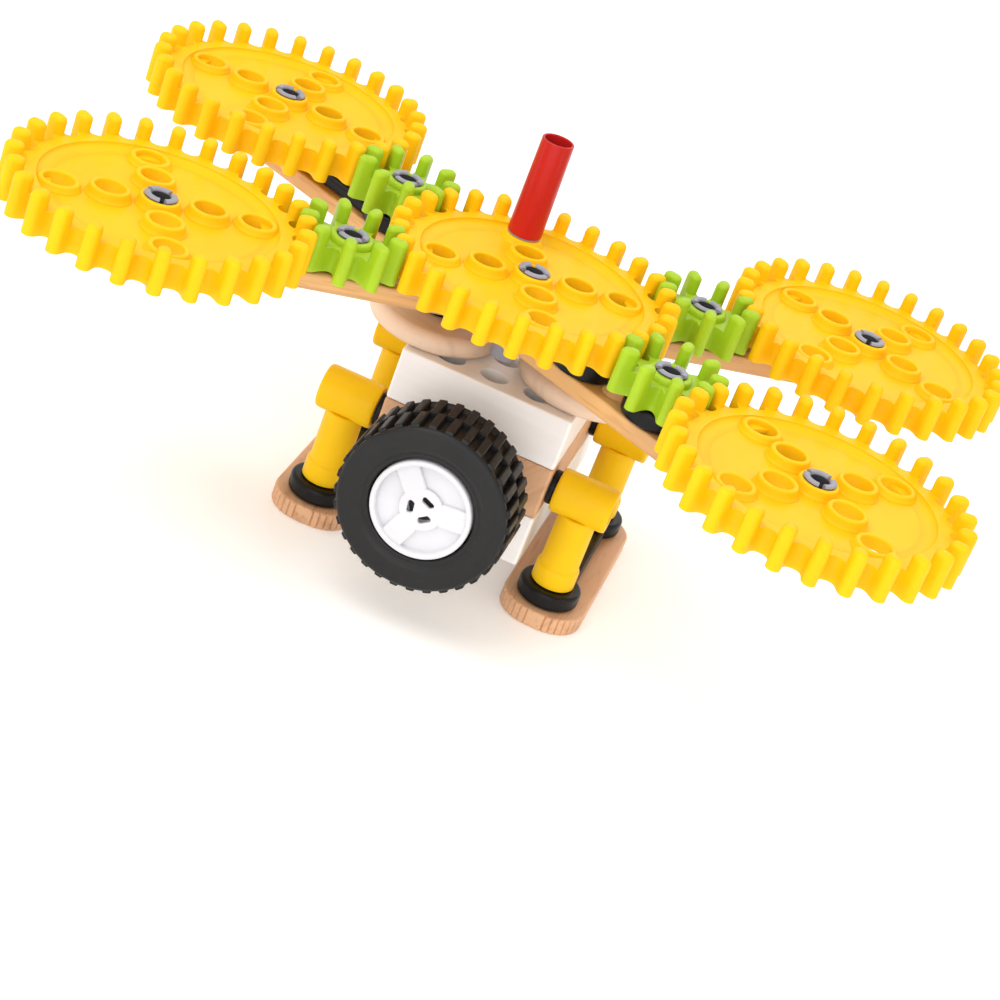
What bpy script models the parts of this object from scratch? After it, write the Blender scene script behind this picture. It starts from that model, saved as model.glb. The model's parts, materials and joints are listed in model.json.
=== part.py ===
"""Wooden and plastic construction toy: five meshing gears carried on a block stand with a wheel.

The world origin is on the floor under the axis of the centre gear. X runs to the right, -Y to the front.
"""

from math import cos, pi, radians, sin

import bmesh
import bpy
from mathutils import Matrix

MM = 0.001

# Grid of the kit
PITCH = 15.0 * MM
CLEARANCE = 0.3 * MM
HOLE_RADIUS = 4.65 * MM
PIN_RADIUS = HOLE_RADIUS - CLEARANCE
HOLE_SIDES = 8
BORE_CORNER = HOLE_RADIUS / cos(pi / HOLE_SIDES)
ROUND_SIDES = 12
FLAT_ANGLE = radians(0.3)

# Gear train
GEAR_TEETH = 27
PINION_TEETH = 9
GEAR_PITCH_RADIUS = 45.0 * MM
PINION_PITCH_RADIUS = GEAR_PITCH_RADIUS * PINION_TEETH / GEAR_TEETH
MESH_DISTANCE = GEAR_PITCH_RADIUS + PINION_PITCH_RADIUS
TOOTH_PITCH = 2 * pi * GEAR_PITCH_RADIUS / GEAR_TEETH
TOOTH_ADDENDUM = 2.25 * MM
TOOTH_DEDENDUM = 4.4 * MM
GEAR_TIP_RADIUS = GEAR_PITCH_RADIUS + TOOTH_ADDENDUM
GEAR_VALLEY_RADIUS = GEAR_PITCH_RADIUS - TOOTH_DEDENDUM
GEAR_RIM_WIDTH = 3.8 * MM
GEAR_RIM_INNER = GEAR_VALLEY_RADIUS - GEAR_RIM_WIDTH
GEAR_TOOTH_WIDTH = TOOTH_PITCH * 0.42
PINION_TIP_RADIUS = PINION_PITCH_RADIUS + TOOTH_ADDENDUM
PINION_VALLEY_DEPTH = 5.1 * MM
PINION_WEB_RADIUS = PINION_PITCH_RADIUS - PINION_VALLEY_DEPTH
PINION_HUB_RADIUS = 6.4 * MM
PINION_TOOTH_WIDTH = TOOTH_PITCH * 0.382
TOOTH_TIP_STEPS = 3
TOOTH_ROOT_SINK = 0.9 * MM
TOOTH_RISE = 4.6 * MM
GEAR_HEIGHT = 10.5 * MM
GEAR_TOOTH_LIFT = 1.2 * MM
PINION_TOOTH_LIFT = 0.45 * MM
RIM_DROP = 1.2 * MM
WEB_DROP = 4.2 * MM
WEB_THICKNESS = 2.2 * MM
BOSS_RADIUS = 6.6 * MM
BOSS_SIDES = 8
PINION_WEB_DROP = 2.0 * MM
PINION_WEB_LIFT = 1.5 * MM
RIM_SIDES = GEAR_TEETH
FIRST_TOOTH = radians(45)
GEAR_ARM_HOLES = (1, 2)

# Angles of the two beams and of the hole crosses of the gears
BEAM_ANGLES = {"upper": radians(30.9), "lower": radians(-28.4)}
CENTRE_CROSS = radians(21.8)
CROSS_TARGETS = {
    "left_front": radians(27.8),
    "right_rear": radians(-27.2),
    "left_rear": radians(-5.9),
    "right_front": radians(46.7),
}

# Stand
STRIP_THICKNESS = 5.7 * MM
BEAM_WIDTH = 18.0 * MM
BEAM_ARM_HOLES = 8
BEAM_HOLE_SPACING = 2 * MESH_DISTANCE / BEAM_ARM_HOLES
SKID_THICKNESS = 6.0 * MM
SKID_WIDTH = 28.0 * MM
SKID_CORNER = 12.0 * MM
SKID_OVERHANG = 12.8 * MM
LEG_SPAN = 4 * PITCH
LINK_BOSS_RADIUS = 10.4 * MM
LINK_STRAP_WIDTH = 13.4 * MM
LINK_SIDES = 16
LINK_STRAP_THICKNESS = 3.4 * MM
BLOCK_THICKNESS = 18.0 * MM
BLOCK_WIDTH = 58.6 * MM
BLOCK_MARGIN = 9.0 * MM
BLOCK_ROWS = 6
BLOCK_COLUMNS = (-1, 0, 1)
BLOCK_JOINT = 39.0 * MM
BLOCK_CORNER = 0.8 * MM
LEG_HEAD_RADIUS = 7.5 * MM
LEG_HEAD_LENGTH = 19.4 * MM
LEG_TUBE_RADIUS = 6.5 * MM
LEG_COLLAR_RADIUS = 7.2 * MM
LEG_COLLAR_HEIGHT = 7.0 * MM
LEG_WASHER_THICKNESS = 1.8 * MM
LEG_WASHER_RADIUS = 6.8 * MM
LEG_PIN_DEPTH = 13.0 * MM
SPIGOT_DEPTH = 4.5 * MM
DISC_RADIUS = 22.2 * MM
DISC_THICKNESS = 7.2 * MM
DISC_EDGE = 2.4 * MM
DISC_SIDES = 24
DISC_HOLE = 2
SPACER_THICKNESS = 7.2 * MM
SPACER_RADIUS = 8.0 * MM
STACK_PIN_COLUMN = 1
STACK_PIN_ROWS = {"front": 1, "rear": 3}

# Pins
PIN_HEAD_RADIUS = 5.5 * MM
PIN_HEAD_THICKNESS = 0.9 * MM
PIN_BORE = 2.8 * MM
PIN_SIDES = 10
CENTRE_PIN_TAIL = 8.0 * MM
SLEEVE_RADIUS = 5.1 * MM
SLEEVE_WALL = 0.9 * MM
SLEEVE_LENGTH = 31.0 * MM
SLEEVE_PEG_SHORT = 8.0 * MM

# Wheel
TYRE_RADIUS = 28.2 * MM
TYRE_GROOVE_RADIUS = 26.6 * MM
TYRE_WIDTH = 24.0 * MM
TYRE_BEAD_RADIUS = 16.7 * MM
TYRE_SHOULDER = 2.6 * MM
TYRE_FRONT = 52.5 * MM
TREAD_STEP = 0.1 * MM
LUGS = 30
WHEEL_SIDES = LUGS
LUG_SHARE = 0.62
TREAD_GROOVE = 1.0 * MM
HUB_RADIUS = TYRE_BEAD_RADIUS - CLEARANCE
HUB_RIM = 2.0 * MM
HUB_DISH = 2.6 * MM
HUB_PLATE = 3.0 * MM
HUB_BOSS_RADIUS = 8.0 * MM
HUB_SPOKES = 3
HUB_SPOKE_WIDTH = 8.4 * MM
HUB_BACK = 2.5 * MM
HUB_CAP_RADIUS = 6.6 * MM
HUB_CAP_DROP = 1.1 * MM
HUB_CAP_THICKNESS = 2.4 * MM
HUB_VENTS = 3
HUB_VENT_REACH = 3.2 * MM
HUB_VENT_LENGTH = 2.0 * MM
HUB_VENT_WIDTH = 1.2 * MM
AXLE_DEPTH = 20.0 * MM

# Heights, from the floor up
LINK_BASE = SKID_THICKNESS + CLEARANCE
LEG_BASE = LINK_BASE + STRIP_THICKNESS + CLEARANCE
BLOCK_BASE = 16.35 * MM
MIDDLE_BASE = BLOCK_BASE + BLOCK_THICKNESS + CLEARANCE
UPPER_BASE = MIDDLE_BASE + BLOCK_THICKNESS + CLEARANCE
LEG_AXIS = MIDDLE_BASE + BLOCK_THICKNESS / 2
DISC_BASE = UPPER_BASE + BLOCK_THICKNESS + CLEARANCE
SPACER_BASE = DISC_BASE + DISC_THICKNESS + CLEARANCE
LOWER_BEAM_BASE = SPACER_BASE + SPACER_THICKNESS + CLEARANCE
UPPER_BEAM_BASE = LOWER_BEAM_BASE + STRIP_THICKNESS + CLEARANCE
GEAR_BASE = UPPER_BEAM_BASE + STRIP_THICKNESS + CLEARANCE
GEAR_TOP = GEAR_BASE + GEAR_HEIGHT
BLOCK_FRONT = -BLOCK_MARGIN
LEG_HEAD_INNER = BLOCK_WIDTH / 2 + LEG_WASHER_THICKNESS + 2 * CLEARANCE
LEG_AXIS_X = LEG_HEAD_INNER + LEG_HEAD_LENGTH / 2


def clear_scene():
    for obj in list(bpy.data.objects):
        bpy.data.objects.remove(obj, do_unlink=True)


def material(name, colour, roughness, metallic=0.0):
    made = bpy.data.materials.new(name)
    made.use_nodes = True
    shader = made.node_tree.nodes["Principled BSDF"]
    shader.inputs["Base Color"].default_value = (*colour, 1.0)
    shader.inputs["Roughness"].default_value = roughness
    shader.inputs["Metallic"].default_value = metallic
    return made


def evaluated_mesh(obj):
    """The mesh that an object shows once its modifiers or its curve are worked out."""
    bpy.context.view_layer.update()
    graph = bpy.context.evaluated_depsgraph_get()
    return bpy.data.meshes.new_from_object(obj.evaluated_get(graph))


def temporary(data):
    obj = bpy.data.objects.new("temporary", data)
    bpy.context.scene.collection.objects.link(obj)
    return obj


def closed_and_outward(mesh):
    bm = bmesh.new()
    bm.from_mesh(mesh)
    bmesh.ops.remove_doubles(bm, verts=bm.verts, dist=1e-6)
    bmesh.ops.recalc_face_normals(bm, faces=bm.faces)
    bm.to_mesh(mesh)
    bm.free()
    return mesh


def prism(loops, bottom, top):
    """A flat outline with holes, given a thickness along Z."""
    curve = bpy.data.curves.new("outline", "CURVE")
    curve.dimensions = "2D"
    curve.fill_mode = "BOTH"
    curve.extrude = (top - bottom) / 2
    for loop in loops:
        spline = curve.splines.new("POLY")
        spline.points.add(len(loop) - 1)
        for point, (x, y) in zip(spline.points, loop):
            point.co = (x, y, 0.0, 1.0)
        spline.use_cyclic_u = True
    holder = temporary(curve)
    mesh = evaluated_mesh(holder)
    bpy.data.objects.remove(holder)
    bpy.data.curves.remove(curve)
    mesh.transform(Matrix.Translation((0, 0, (top + bottom) / 2)))
    return closed_and_outward(mesh)


def turned(profile, sides):
    """A closed section of (radius, height) points turned round Z."""
    bm = bmesh.new()
    verts = [bm.verts.new((radius, 0, height)) for radius, height in profile]
    for first, second in zip(verts, verts[1:] + verts[:1]):
        bm.edges.new((first, second))
    section = bpy.data.meshes.new("section")
    bm.to_mesh(section)
    bm.free()
    holder = temporary(section)
    screw = holder.modifiers.new("turn", "SCREW")
    screw.steps = sides
    screw.render_steps = sides
    screw.use_merge_vertices = True
    screw.merge_threshold = 1e-6
    mesh = evaluated_mesh(holder)
    bpy.data.objects.remove(holder)
    return closed_and_outward(mesh)


def cylinder(radius, bottom, top, sides=ROUND_SIDES, centre=(0, 0), axis="Z"):
    bm = bmesh.new()
    bmesh.ops.create_cone(
        bm, cap_ends=True, segments=sides, radius1=radius, radius2=radius, depth=top - bottom
    )
    mesh = bpy.data.meshes.new("cylinder")
    bm.to_mesh(mesh)
    bm.free()
    mesh.transform(Matrix.Translation((*centre, (top + bottom) / 2)))
    if axis == "X":
        mesh.transform(Matrix.Rotation(pi / 2, 4, "Y"))
    elif axis == "Y":
        mesh.transform(Matrix.Rotation(-pi / 2, 4, "X"))
    return mesh


def moved(mesh, x=0.0, y=0.0, z=0.0):
    mesh.transform(Matrix.Translation((x, y, z)))
    return mesh


def flats_merged(mesh):
    """Faces that lie in one plane become one face, and are then cut into triangles again."""
    bm = bmesh.new()
    bm.from_mesh(mesh)
    bmesh.ops.dissolve_limit(
        bm, angle_limit=FLAT_ANGLE, verts=bm.verts, edges=bm.edges, use_dissolve_boundaries=False
    )
    bmesh.ops.triangulate(bm, faces=bm.faces)
    bm.to_mesh(mesh)
    bm.free()
    return mesh


def combined(base, others, operation):
    """The base joined with, or cut by, each of the other meshes."""
    holder = temporary(base)
    helpers = []
    for other in others:
        helper = temporary(other)
        helpers.append(helper)
        boolean = holder.modifiers.new("combine", "BOOLEAN")
        boolean.operation = operation
        boolean.solver = "EXACT"
        boolean.object = helper
    mesh = evaluated_mesh(holder)
    for helper in helpers + [holder]:
        bpy.data.objects.remove(helper)
    return flats_merged(mesh)


def joined(base, others):
    return combined(base, others, "UNION")


def cut(base, others):
    return combined(base, others, "DIFFERENCE")


def circle(radius, sides, centre=(0.0, 0.0), start=0.0):
    angles = [start + 2 * pi * step / sides for step in range(sides)]
    return [(centre[0] + radius * cos(a), centre[1] + radius * sin(a)) for a in angles]


def rounded_rectangle(low, high, corner, steps):
    """Outline between two corner points with rounded corners."""
    points = []
    corners = (
        (high[0] - corner, high[1] - corner, 0.0),
        (low[0] + corner, high[1] - corner, pi / 2),
        (low[0] + corner, low[1] + corner, pi),
        (high[0] - corner, low[1] + corner, 3 * pi / 2),
    )
    for x, y, start in corners:
        for step in range(steps + 1):
            angle = start + pi / 2 * step / steps
            points.append((x + corner * cos(angle), y + corner * sin(angle)))
    return points


def tooth_outline(root, tip, width, angle):
    """A straight-sided tooth along an angle, with a half-round tip."""
    half = width / 2
    points = [(root, -half)]
    for step in range(TOOTH_TIP_STEPS + 1):
        turn = -pi / 2 + pi * step / TOOTH_TIP_STEPS
        points.append((tip - half + half * cos(turn), half * sin(turn)))
    points.append((root, half))
    return [(x * cos(angle) - y * sin(angle), x * sin(angle) + y * cos(angle)) for x, y in points]


def toothed_ring(bottom, top, tooth_top):
    """Rim with straight, round-tipped teeth that stand above it, drawn flat and then raised."""
    bm = bmesh.new()
    inner = [
        bm.verts.new((x, y, top)) for x, y in circle(GEAR_RIM_INNER, GEAR_TEETH, start=FIRST_TOOTH)
    ]
    teeth = []
    for index in range(GEAR_TEETH):
        angle = FIRST_TOOTH + 2 * pi * index / GEAR_TEETH
        outline = tooth_outline(GEAR_VALLEY_RADIUS, GEAR_TIP_RADIUS, GEAR_TOOTH_WIDTH, angle)
        teeth.append([bm.verts.new((x, y, top)) for x, y in outline])
    tooth_faces = [bm.faces.new(tooth) for tooth in teeth]
    for index, tooth in enumerate(teeth):
        bm.faces.new((inner[index], tooth[0], tooth[-1]))
        following = teeth[(index + 1) % GEAR_TEETH]
        after = inner[(index + 1) % GEAR_TEETH]
        bm.faces.new((inner[index], tooth[-1], following[0], after))
    sheet = bm.faces[:]
    lowered = bmesh.ops.extrude_face_region(bm, geom=sheet, use_keep_orig=True)["geom"]
    points = [item for item in lowered if isinstance(item, bmesh.types.BMVert)]
    bmesh.ops.translate(bm, vec=(0, 0, bottom - top), verts=points)
    for face in tooth_faces:
        raised = bmesh.ops.extrude_face_region(bm, geom=[face])["geom"]
        points = [item for item in raised if isinstance(item, bmesh.types.BMVert)]
        bmesh.ops.translate(bm, vec=(0, 0, tooth_top - top), verts=points)
    bmesh.ops.delete(bm, geom=[face for face in tooth_faces if face.is_valid], context="FACES_ONLY")
    mesh = bpy.data.meshes.new("toothed_ring")
    bm.to_mesh(mesh)
    bm.free()
    return closed_and_outward(mesh)


def gear_mesh():
    """Large gear, its boss tops at height 0, a tooth centred on the angle of 45 degrees."""
    bottom = -GEAR_HEIGHT
    gear = toothed_ring(bottom + GEAR_TOOTH_LIFT, -RIM_DROP, TOOTH_RISE)
    edge = circle(GEAR_RIM_INNER + TOOTH_ROOT_SINK, RIM_SIDES, start=FIRST_TOOTH)
    web = prism([edge], -WEB_DROP - WEB_THICKNESS, -WEB_DROP)
    centres = [(0.0, 0.0)]
    for arm in range(4):
        angle = arm * pi / 2
        centres += [(n * PITCH * cos(angle), n * PITCH * sin(angle)) for n in GEAR_ARM_HOLES]
    bosses = []
    for index, centre in enumerate(centres):
        foot = bottom if index == 0 else -WEB_DROP - WEB_THICKNESS / 2
        bosses.append(cylinder(BOSS_RADIUS, foot, 0.0, BOSS_SIDES, centre))
    bores = [
        cylinder(BORE_CORNER, bottom - PITCH, PITCH, HOLE_SIDES, centre) for centre in centres
    ]
    return cut(joined(gear, [web] + bosses), bores)


def pinion_mesh():
    """Small gear, its hub top at height 0, a tooth centred on the angle 0."""
    bottom = -GEAR_HEIGHT
    hub = cylinder(PINION_HUB_RADIUS, bottom, 0.0, PIN_SIDES)
    web = prism(
        [circle(PINION_WEB_RADIUS, PINION_TEETH)], bottom + PINION_WEB_LIFT, -PINION_WEB_DROP
    )
    fins = []
    for index in range(PINION_TEETH):
        outline = tooth_outline(
            PINION_HUB_RADIUS - TOOTH_ROOT_SINK / 3,
            PINION_TIP_RADIUS,
            PINION_TOOTH_WIDTH,
            2 * pi * index / PINION_TEETH,
        )
        fins.append(prism([outline], bottom + PINION_TOOTH_LIFT, TOOTH_RISE))
    solid = joined(hub, [web] + fins)
    return cut(solid, [cylinder(HOLE_RADIUS, bottom - PITCH, PITCH, PIN_SIDES)])


def pin_mesh(length):
    """Hollow pin hanging from height 0, with a flanged head above it."""
    profile = [
        (PIN_BORE, PIN_HEAD_THICKNESS),
        (PIN_HEAD_RADIUS, PIN_HEAD_THICKNESS),
        (PIN_HEAD_RADIUS, 0.0),
        (PIN_RADIUS, 0.0),
        (PIN_RADIUS, -length),
        (PIN_BORE, -length),
    ]
    return turned(profile, PIN_SIDES)


def plain_pin_mesh(radius, bottom, top, axis="Z"):
    return cylinder(radius, bottom, top, PIN_SIDES, axis=axis)


def link_mesh(span):
    """Two round bosses a span apart, joined by a thin strap along X, standing on height 0."""
    strap = prism(
        [rounded_rectangle((0.0, -LINK_STRAP_WIDTH / 2), (span, LINK_STRAP_WIDTH / 2), MM, 1)],
        CLEARANCE,
        LINK_STRAP_THICKNESS,
    )
    bosses = [
        cylinder(LINK_BOSS_RADIUS, 0.0, STRIP_THICKNESS, LINK_SIDES, (x, 0.0))
        for x in (0.0, span)
    ]
    holes = [cylinder(BORE_CORNER, -PITCH, PITCH, HOLE_SIDES, (x, 0.0)) for x in (0.0, span)]
    return cut(joined(strap, bosses), holes)


def beam_mesh():
    """Strip along X with round ends and a row of holes, standing on height 0."""
    reach = BEAM_ARM_HOLES * BEAM_HOLE_SPACING + BEAM_WIDTH / 2
    half = BEAM_WIDTH / 2
    outline = rounded_rectangle((-reach, -half), (reach, half), half * 0.98, 4)
    holes = [
        circle(BORE_CORNER, HOLE_SIDES, (index * BEAM_HOLE_SPACING, 0.0))
        for index in range(-BEAM_ARM_HOLES, BEAM_ARM_HOLES + 1)
    ]
    return prism([outline] + holes, 0.0, STRIP_THICKNESS)


def skid_mesh():
    """Foot strip along Y from the front leg's axis at 0, standing on height 0."""
    half = SKID_WIDTH / 2
    outline = rounded_rectangle(
        (-half, -SKID_OVERHANG), (half, LEG_SPAN + SKID_OVERHANG), SKID_CORNER, 5
    )
    rows = range(round(LEG_SPAN / PITCH) + 1)
    holes = [circle(BORE_CORNER, HOLE_SIDES, (0.0, row * PITCH)) for row in rows]
    return prism([outline] + holes, 0.0, SKID_THICKNESS)


def block_mesh(low, high, grid):
    """Block between two depths with upright holes at grid places, standing on height 0."""
    half = BLOCK_WIDTH / 2
    outline = rounded_rectangle((-half, low), (half, high), BLOCK_CORNER, 1)
    holes = [
        circle(BORE_CORNER, HOLE_SIDES, (column * PITCH, row * PITCH)) for column, row in grid
    ]
    return prism([outline] + holes, 0.0, BLOCK_THICKNESS)


def middle_block_mesh(low, high, grid, leg_row):
    """Middle block with blind holes in its ends for the legs, and in front one for the axle."""
    mesh = block_mesh(low, high, grid)
    centre = BLOCK_THICKNESS / 2
    foot = BLOCK_WIDTH / 2 - LEG_PIN_DEPTH - CLEARANCE
    cutters = []
    for turn in (0.0, pi):
        bore = cylinder(BORE_CORNER, foot, BLOCK_WIDTH, HOLE_SIDES, axis="X")
        bore.transform(Matrix.Rotation(turn, 4, "Z"))
        cutters.append(moved(bore, y=leg_row * PITCH, z=centre))
    if leg_row == 0:
        depth = AXLE_DEPTH + CLEARANCE
        bore = cylinder(BORE_CORNER, -PITCH, BLOCK_MARGIN + depth, HOLE_SIDES, axis="Y")
        cutters.append(moved(bore, y=low - BLOCK_MARGIN, z=centre))
    return cut(mesh, cutters)


def leg_mesh():
    """T-shaped leg: the head lies along X at the origin, the tube goes down to the foot."""
    foot = LEG_BASE - LEG_AXIS
    head = cylinder(
        LEG_HEAD_RADIUS, -LEG_HEAD_LENGTH / 2, LEG_HEAD_LENGTH / 2, ROUND_SIDES, axis="X"
    )
    tube = cylinder(LEG_TUBE_RADIUS, foot + CLEARANCE, 0.0, ROUND_SIDES)
    collar = cylinder(LEG_COLLAR_RADIUS, foot, foot + LEG_COLLAR_HEIGHT, ROUND_SIDES)
    spigot = cylinder(
        PIN_RADIUS, foot - STRIP_THICKNESS - SPIGOT_DEPTH, foot + CLEARANCE, PIN_SIDES
    )
    bore = cylinder(HOLE_RADIUS, -LEG_HEAD_LENGTH, LEG_HEAD_LENGTH, PIN_SIDES, axis="X")
    return cut(joined(head, [tube, collar, spigot]), [bore])


def disc_mesh(pin_offset):
    """Round wooden spacer with a centre hole and one more hole for the block's pin."""
    rounding = [
        (
            DISC_RADIUS - DISC_EDGE + DISC_EDGE * cos(turn),
            DISC_THICKNESS - DISC_EDGE + DISC_EDGE * sin(turn),
        )
        for turn in (0.0, pi / 4, pi / 2)
    ]
    profile = [(HOLE_RADIUS, 0.0), (DISC_RADIUS, 0.0)] + rounding + [(HOLE_RADIUS, DISC_THICKNESS)]
    bore = cylinder(BORE_CORNER, -PITCH, PITCH, HOLE_SIDES, pin_offset)
    return cut(turned(profile, DISC_SIDES), [bore])


def ring_mesh(inner, outer, thickness, sides=ROUND_SIDES):
    return prism([circle(outer, sides), circle(inner, sides)], 0.0, thickness)


def lug_ring(bottom, top, shift):
    """Half of the tread: raised lugs with grooves between them, shifted by part of a lug's pitch."""
    points = []
    pitch = 2 * pi / LUGS
    for index in range(LUGS):
        angle = (index + shift - LUG_SHARE / 2) * pitch
        for radius, turn in (
            (TYRE_GROOVE_RADIUS, 0.0),
            (TYRE_RADIUS, 0.0),
            (TYRE_RADIUS, LUG_SHARE * pitch),
            (TYRE_GROOVE_RADIUS, LUG_SHARE * pitch),
        ):
            points.append((radius * cos(angle + turn), radius * sin(angle + turn)))
    inner = circle(TYRE_GROOVE_RADIUS - TYRE_SHOULDER, WHEEL_SIDES)
    return prism([points, inner], bottom, top)


def tyre_mesh():
    """Tyre round Z with its front face at height 0 and its back below."""
    middle = -TYRE_WIDTH / 2
    core = turned(
        [
            (TYRE_BEAD_RADIUS, -TYRE_SHOULDER / 2),
            (TYRE_BEAD_RADIUS + TYRE_SHOULDER, 0.0),
            (TYRE_GROOVE_RADIUS - TYRE_SHOULDER / 2, 0.0),
            (TYRE_GROOVE_RADIUS - TREAD_STEP, -TYRE_SHOULDER),
            (TYRE_GROOVE_RADIUS - TREAD_STEP, TYRE_SHOULDER - TYRE_WIDTH),
            (TYRE_GROOVE_RADIUS - TYRE_SHOULDER / 2, -TYRE_WIDTH),
            (TYRE_BEAD_RADIUS + TYRE_SHOULDER, -TYRE_WIDTH),
            (TYRE_BEAD_RADIUS, TYRE_SHOULDER / 2 - TYRE_WIDTH),
        ],
        WHEEL_SIDES,
    )
    front = lug_ring(middle + TREAD_GROOVE / 2, -TYRE_SHOULDER / 2, 0.0)
    back = lug_ring(TYRE_SHOULDER / 2 - TYRE_WIDTH, middle - TREAD_GROOVE / 2, 0.5)
    return joined(core, [front, back])


def hub_mesh():
    """Wheel hub round Z: dished front with a cap, spokes and vents, and a barrel behind."""
    back = HUB_BACK - TYRE_WIDTH
    plate_top = -HUB_DISH
    bore_end = -HUB_CAP_DROP - HUB_CAP_THICKNESS
    shell = turned(
        [
            (HOLE_RADIUS, bore_end),
            (HOLE_RADIUS, plate_top),
            (HUB_RADIUS - HUB_RIM, plate_top),
            (HUB_RADIUS - HUB_RIM, 0.0),
            (HUB_RADIUS, 0.0),
            (HUB_RADIUS, back),
            (HUB_RADIUS - HUB_RIM, back),
            (HUB_RADIUS - HUB_RIM, plate_top - HUB_PLATE),
            (HUB_BOSS_RADIUS, plate_top - HUB_PLATE),
            (HUB_BOSS_RADIUS, back - HUB_BACK),
            (HOLE_RADIUS, back - HUB_BACK),
        ],
        WHEEL_SIDES,
    )
    parts = [cylinder(HUB_CAP_RADIUS, bore_end, -HUB_CAP_DROP, ROUND_SIDES)]
    for index in range(HUB_SPOKES):
        half = HUB_SPOKE_WIDTH / 2
        outline = [
            (HOLE_RADIUS + MM, -half),
            (HUB_RADIUS - HUB_RIM / 2, -half),
            (HUB_RADIUS - HUB_RIM / 2, half),
            (HOLE_RADIUS + MM, half),
        ]
        spoke = prism([outline], plate_top - MM, -HUB_DISH * 0.5)
        spoke.transform(Matrix.Rotation(pi / 2 + 2 * pi * index / HUB_SPOKES, 4, "Z"))
        parts.append(spoke)
    vents = []
    for index in range(HUB_VENTS):
        outline = rounded_rectangle(
            (HUB_VENT_REACH - HUB_VENT_WIDTH / 2, -HUB_VENT_LENGTH / 2),
            (HUB_VENT_REACH + HUB_VENT_WIDTH / 2, HUB_VENT_LENGTH / 2),
            HUB_VENT_WIDTH / 3,
            1,
        )
        vent = prism([outline], bore_end - MM, MM)
        vent.transform(Matrix.Rotation(pi / 6 + 2 * pi * index / HUB_VENTS, 4, "Z"))
        vents.append(vent)
    return cut(joined(shell, parts), vents)


def wrapped(angle, period):
    """The angle moved by whole periods to lie nearest to zero."""
    return (angle + period / 2) % period - period / 2


def meshed(driver_angle, driver_teeth, teeth, direction):
    """Angle of a tooth of a gear that meshes with its driver, which lies behind along the direction."""
    return direction + pi + (pi - driver_teeth * (driver_angle - direction)) / teeth


def arm_directions():
    return {
        "left_front": BEAM_ANGLES["upper"] + pi,
        "right_rear": BEAM_ANGLES["upper"],
        "left_rear": BEAM_ANGLES["lower"] + pi,
        "right_front": BEAM_ANGLES["lower"],
    }


def train_angles():
    """Turn of each pinion and outer gear about Z, so that all teeth are in mesh at rest."""
    turns = {}
    tooth_offset = FIRST_TOOTH
    for arm, direction in arm_directions().items():
        pinion = meshed(CENTRE_CROSS + tooth_offset, GEAR_TEETH, PINION_TEETH, direction)
        outer = meshed(pinion, PINION_TEETH, GEAR_TEETH, direction) - tooth_offset
        period = 2 * pi / GEAR_TEETH
        choices = []
        for quarter in range(4):
            target = CROSS_TARGETS[arm] + quarter * pi / 2
            choices.append((abs(wrapped(outer - target, period)), target))
        target = min(choices)[1]
        turns[arm] = (pinion, target + wrapped(outer - target, period))
    return turns


class Builder:
    """Adds finished meshes to the object's collection under the names of its pieces."""

    def __init__(self):
        self.collection = bpy.data.collections.new("construction_toy_set")
        bpy.context.scene.collection.children.link(self.collection)

    def add(self, name, mesh, surface, location=(0, 0, 0), turn=0.0, tilt=0.0):
        obj = bpy.data.objects.new(name, mesh)
        obj.location = location
        obj.rotation_euler = (tilt, 0.0, turn)
        if not mesh.materials:
            mesh.materials.append(surface)
            mesh.name = name
            mesh.shade_smooth()
            mesh.set_sharp_from_angle(angle=radians(35))
        self.collection.objects.link(obj)
        return obj


def build_train(builder, looks):
    """Gears, pinions, their pins, the crank sleeve and the peg under it."""
    gear = gear_mesh()
    pinion = pinion_mesh()
    top = GEAR_TOP
    head = top + CLEARANCE
    builder.add("gear_centre", gear, looks["yellow"], (0, 0, top), CENTRE_CROSS)
    long_pin = pin_mesh(head - LOWER_BEAM_BASE + CENTRE_PIN_TAIL)
    builder.add("gear_pin_centre", long_pin, looks["grey"], (0, 0, head), CENTRE_CROSS)
    short_pin = pin_mesh(head - UPPER_BEAM_BASE)
    deep_pin = pin_mesh(head - LOWER_BEAM_BASE)
    turns = train_angles()
    for arm, direction in arm_directions().items():
        pinion_turn, outer_turn = turns[arm]
        pin = short_pin if arm in ("left_front", "right_rear") else deep_pin
        near = (MESH_DISTANCE * cos(direction), MESH_DISTANCE * sin(direction))
        far = (2 * near[0], 2 * near[1])
        builder.add(f"pinion_{arm}", pinion, looks["green"], (*near, top), pinion_turn)
        builder.add(f"pinion_pin_{arm}", pin, looks["grey"], (*near, head), pinion_turn)
        builder.add(f"gear_{arm}", gear, looks["yellow"], (*far, top), outer_turn)
        builder.add(f"gear_pin_{arm}", pin, looks["grey"], (*far, head), outer_turn)
    build_crank(builder, looks)


def crank_position():
    angle = CENTRE_CROSS + pi / 2
    return (2 * PITCH * cos(angle), 2 * PITCH * sin(angle))


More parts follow.
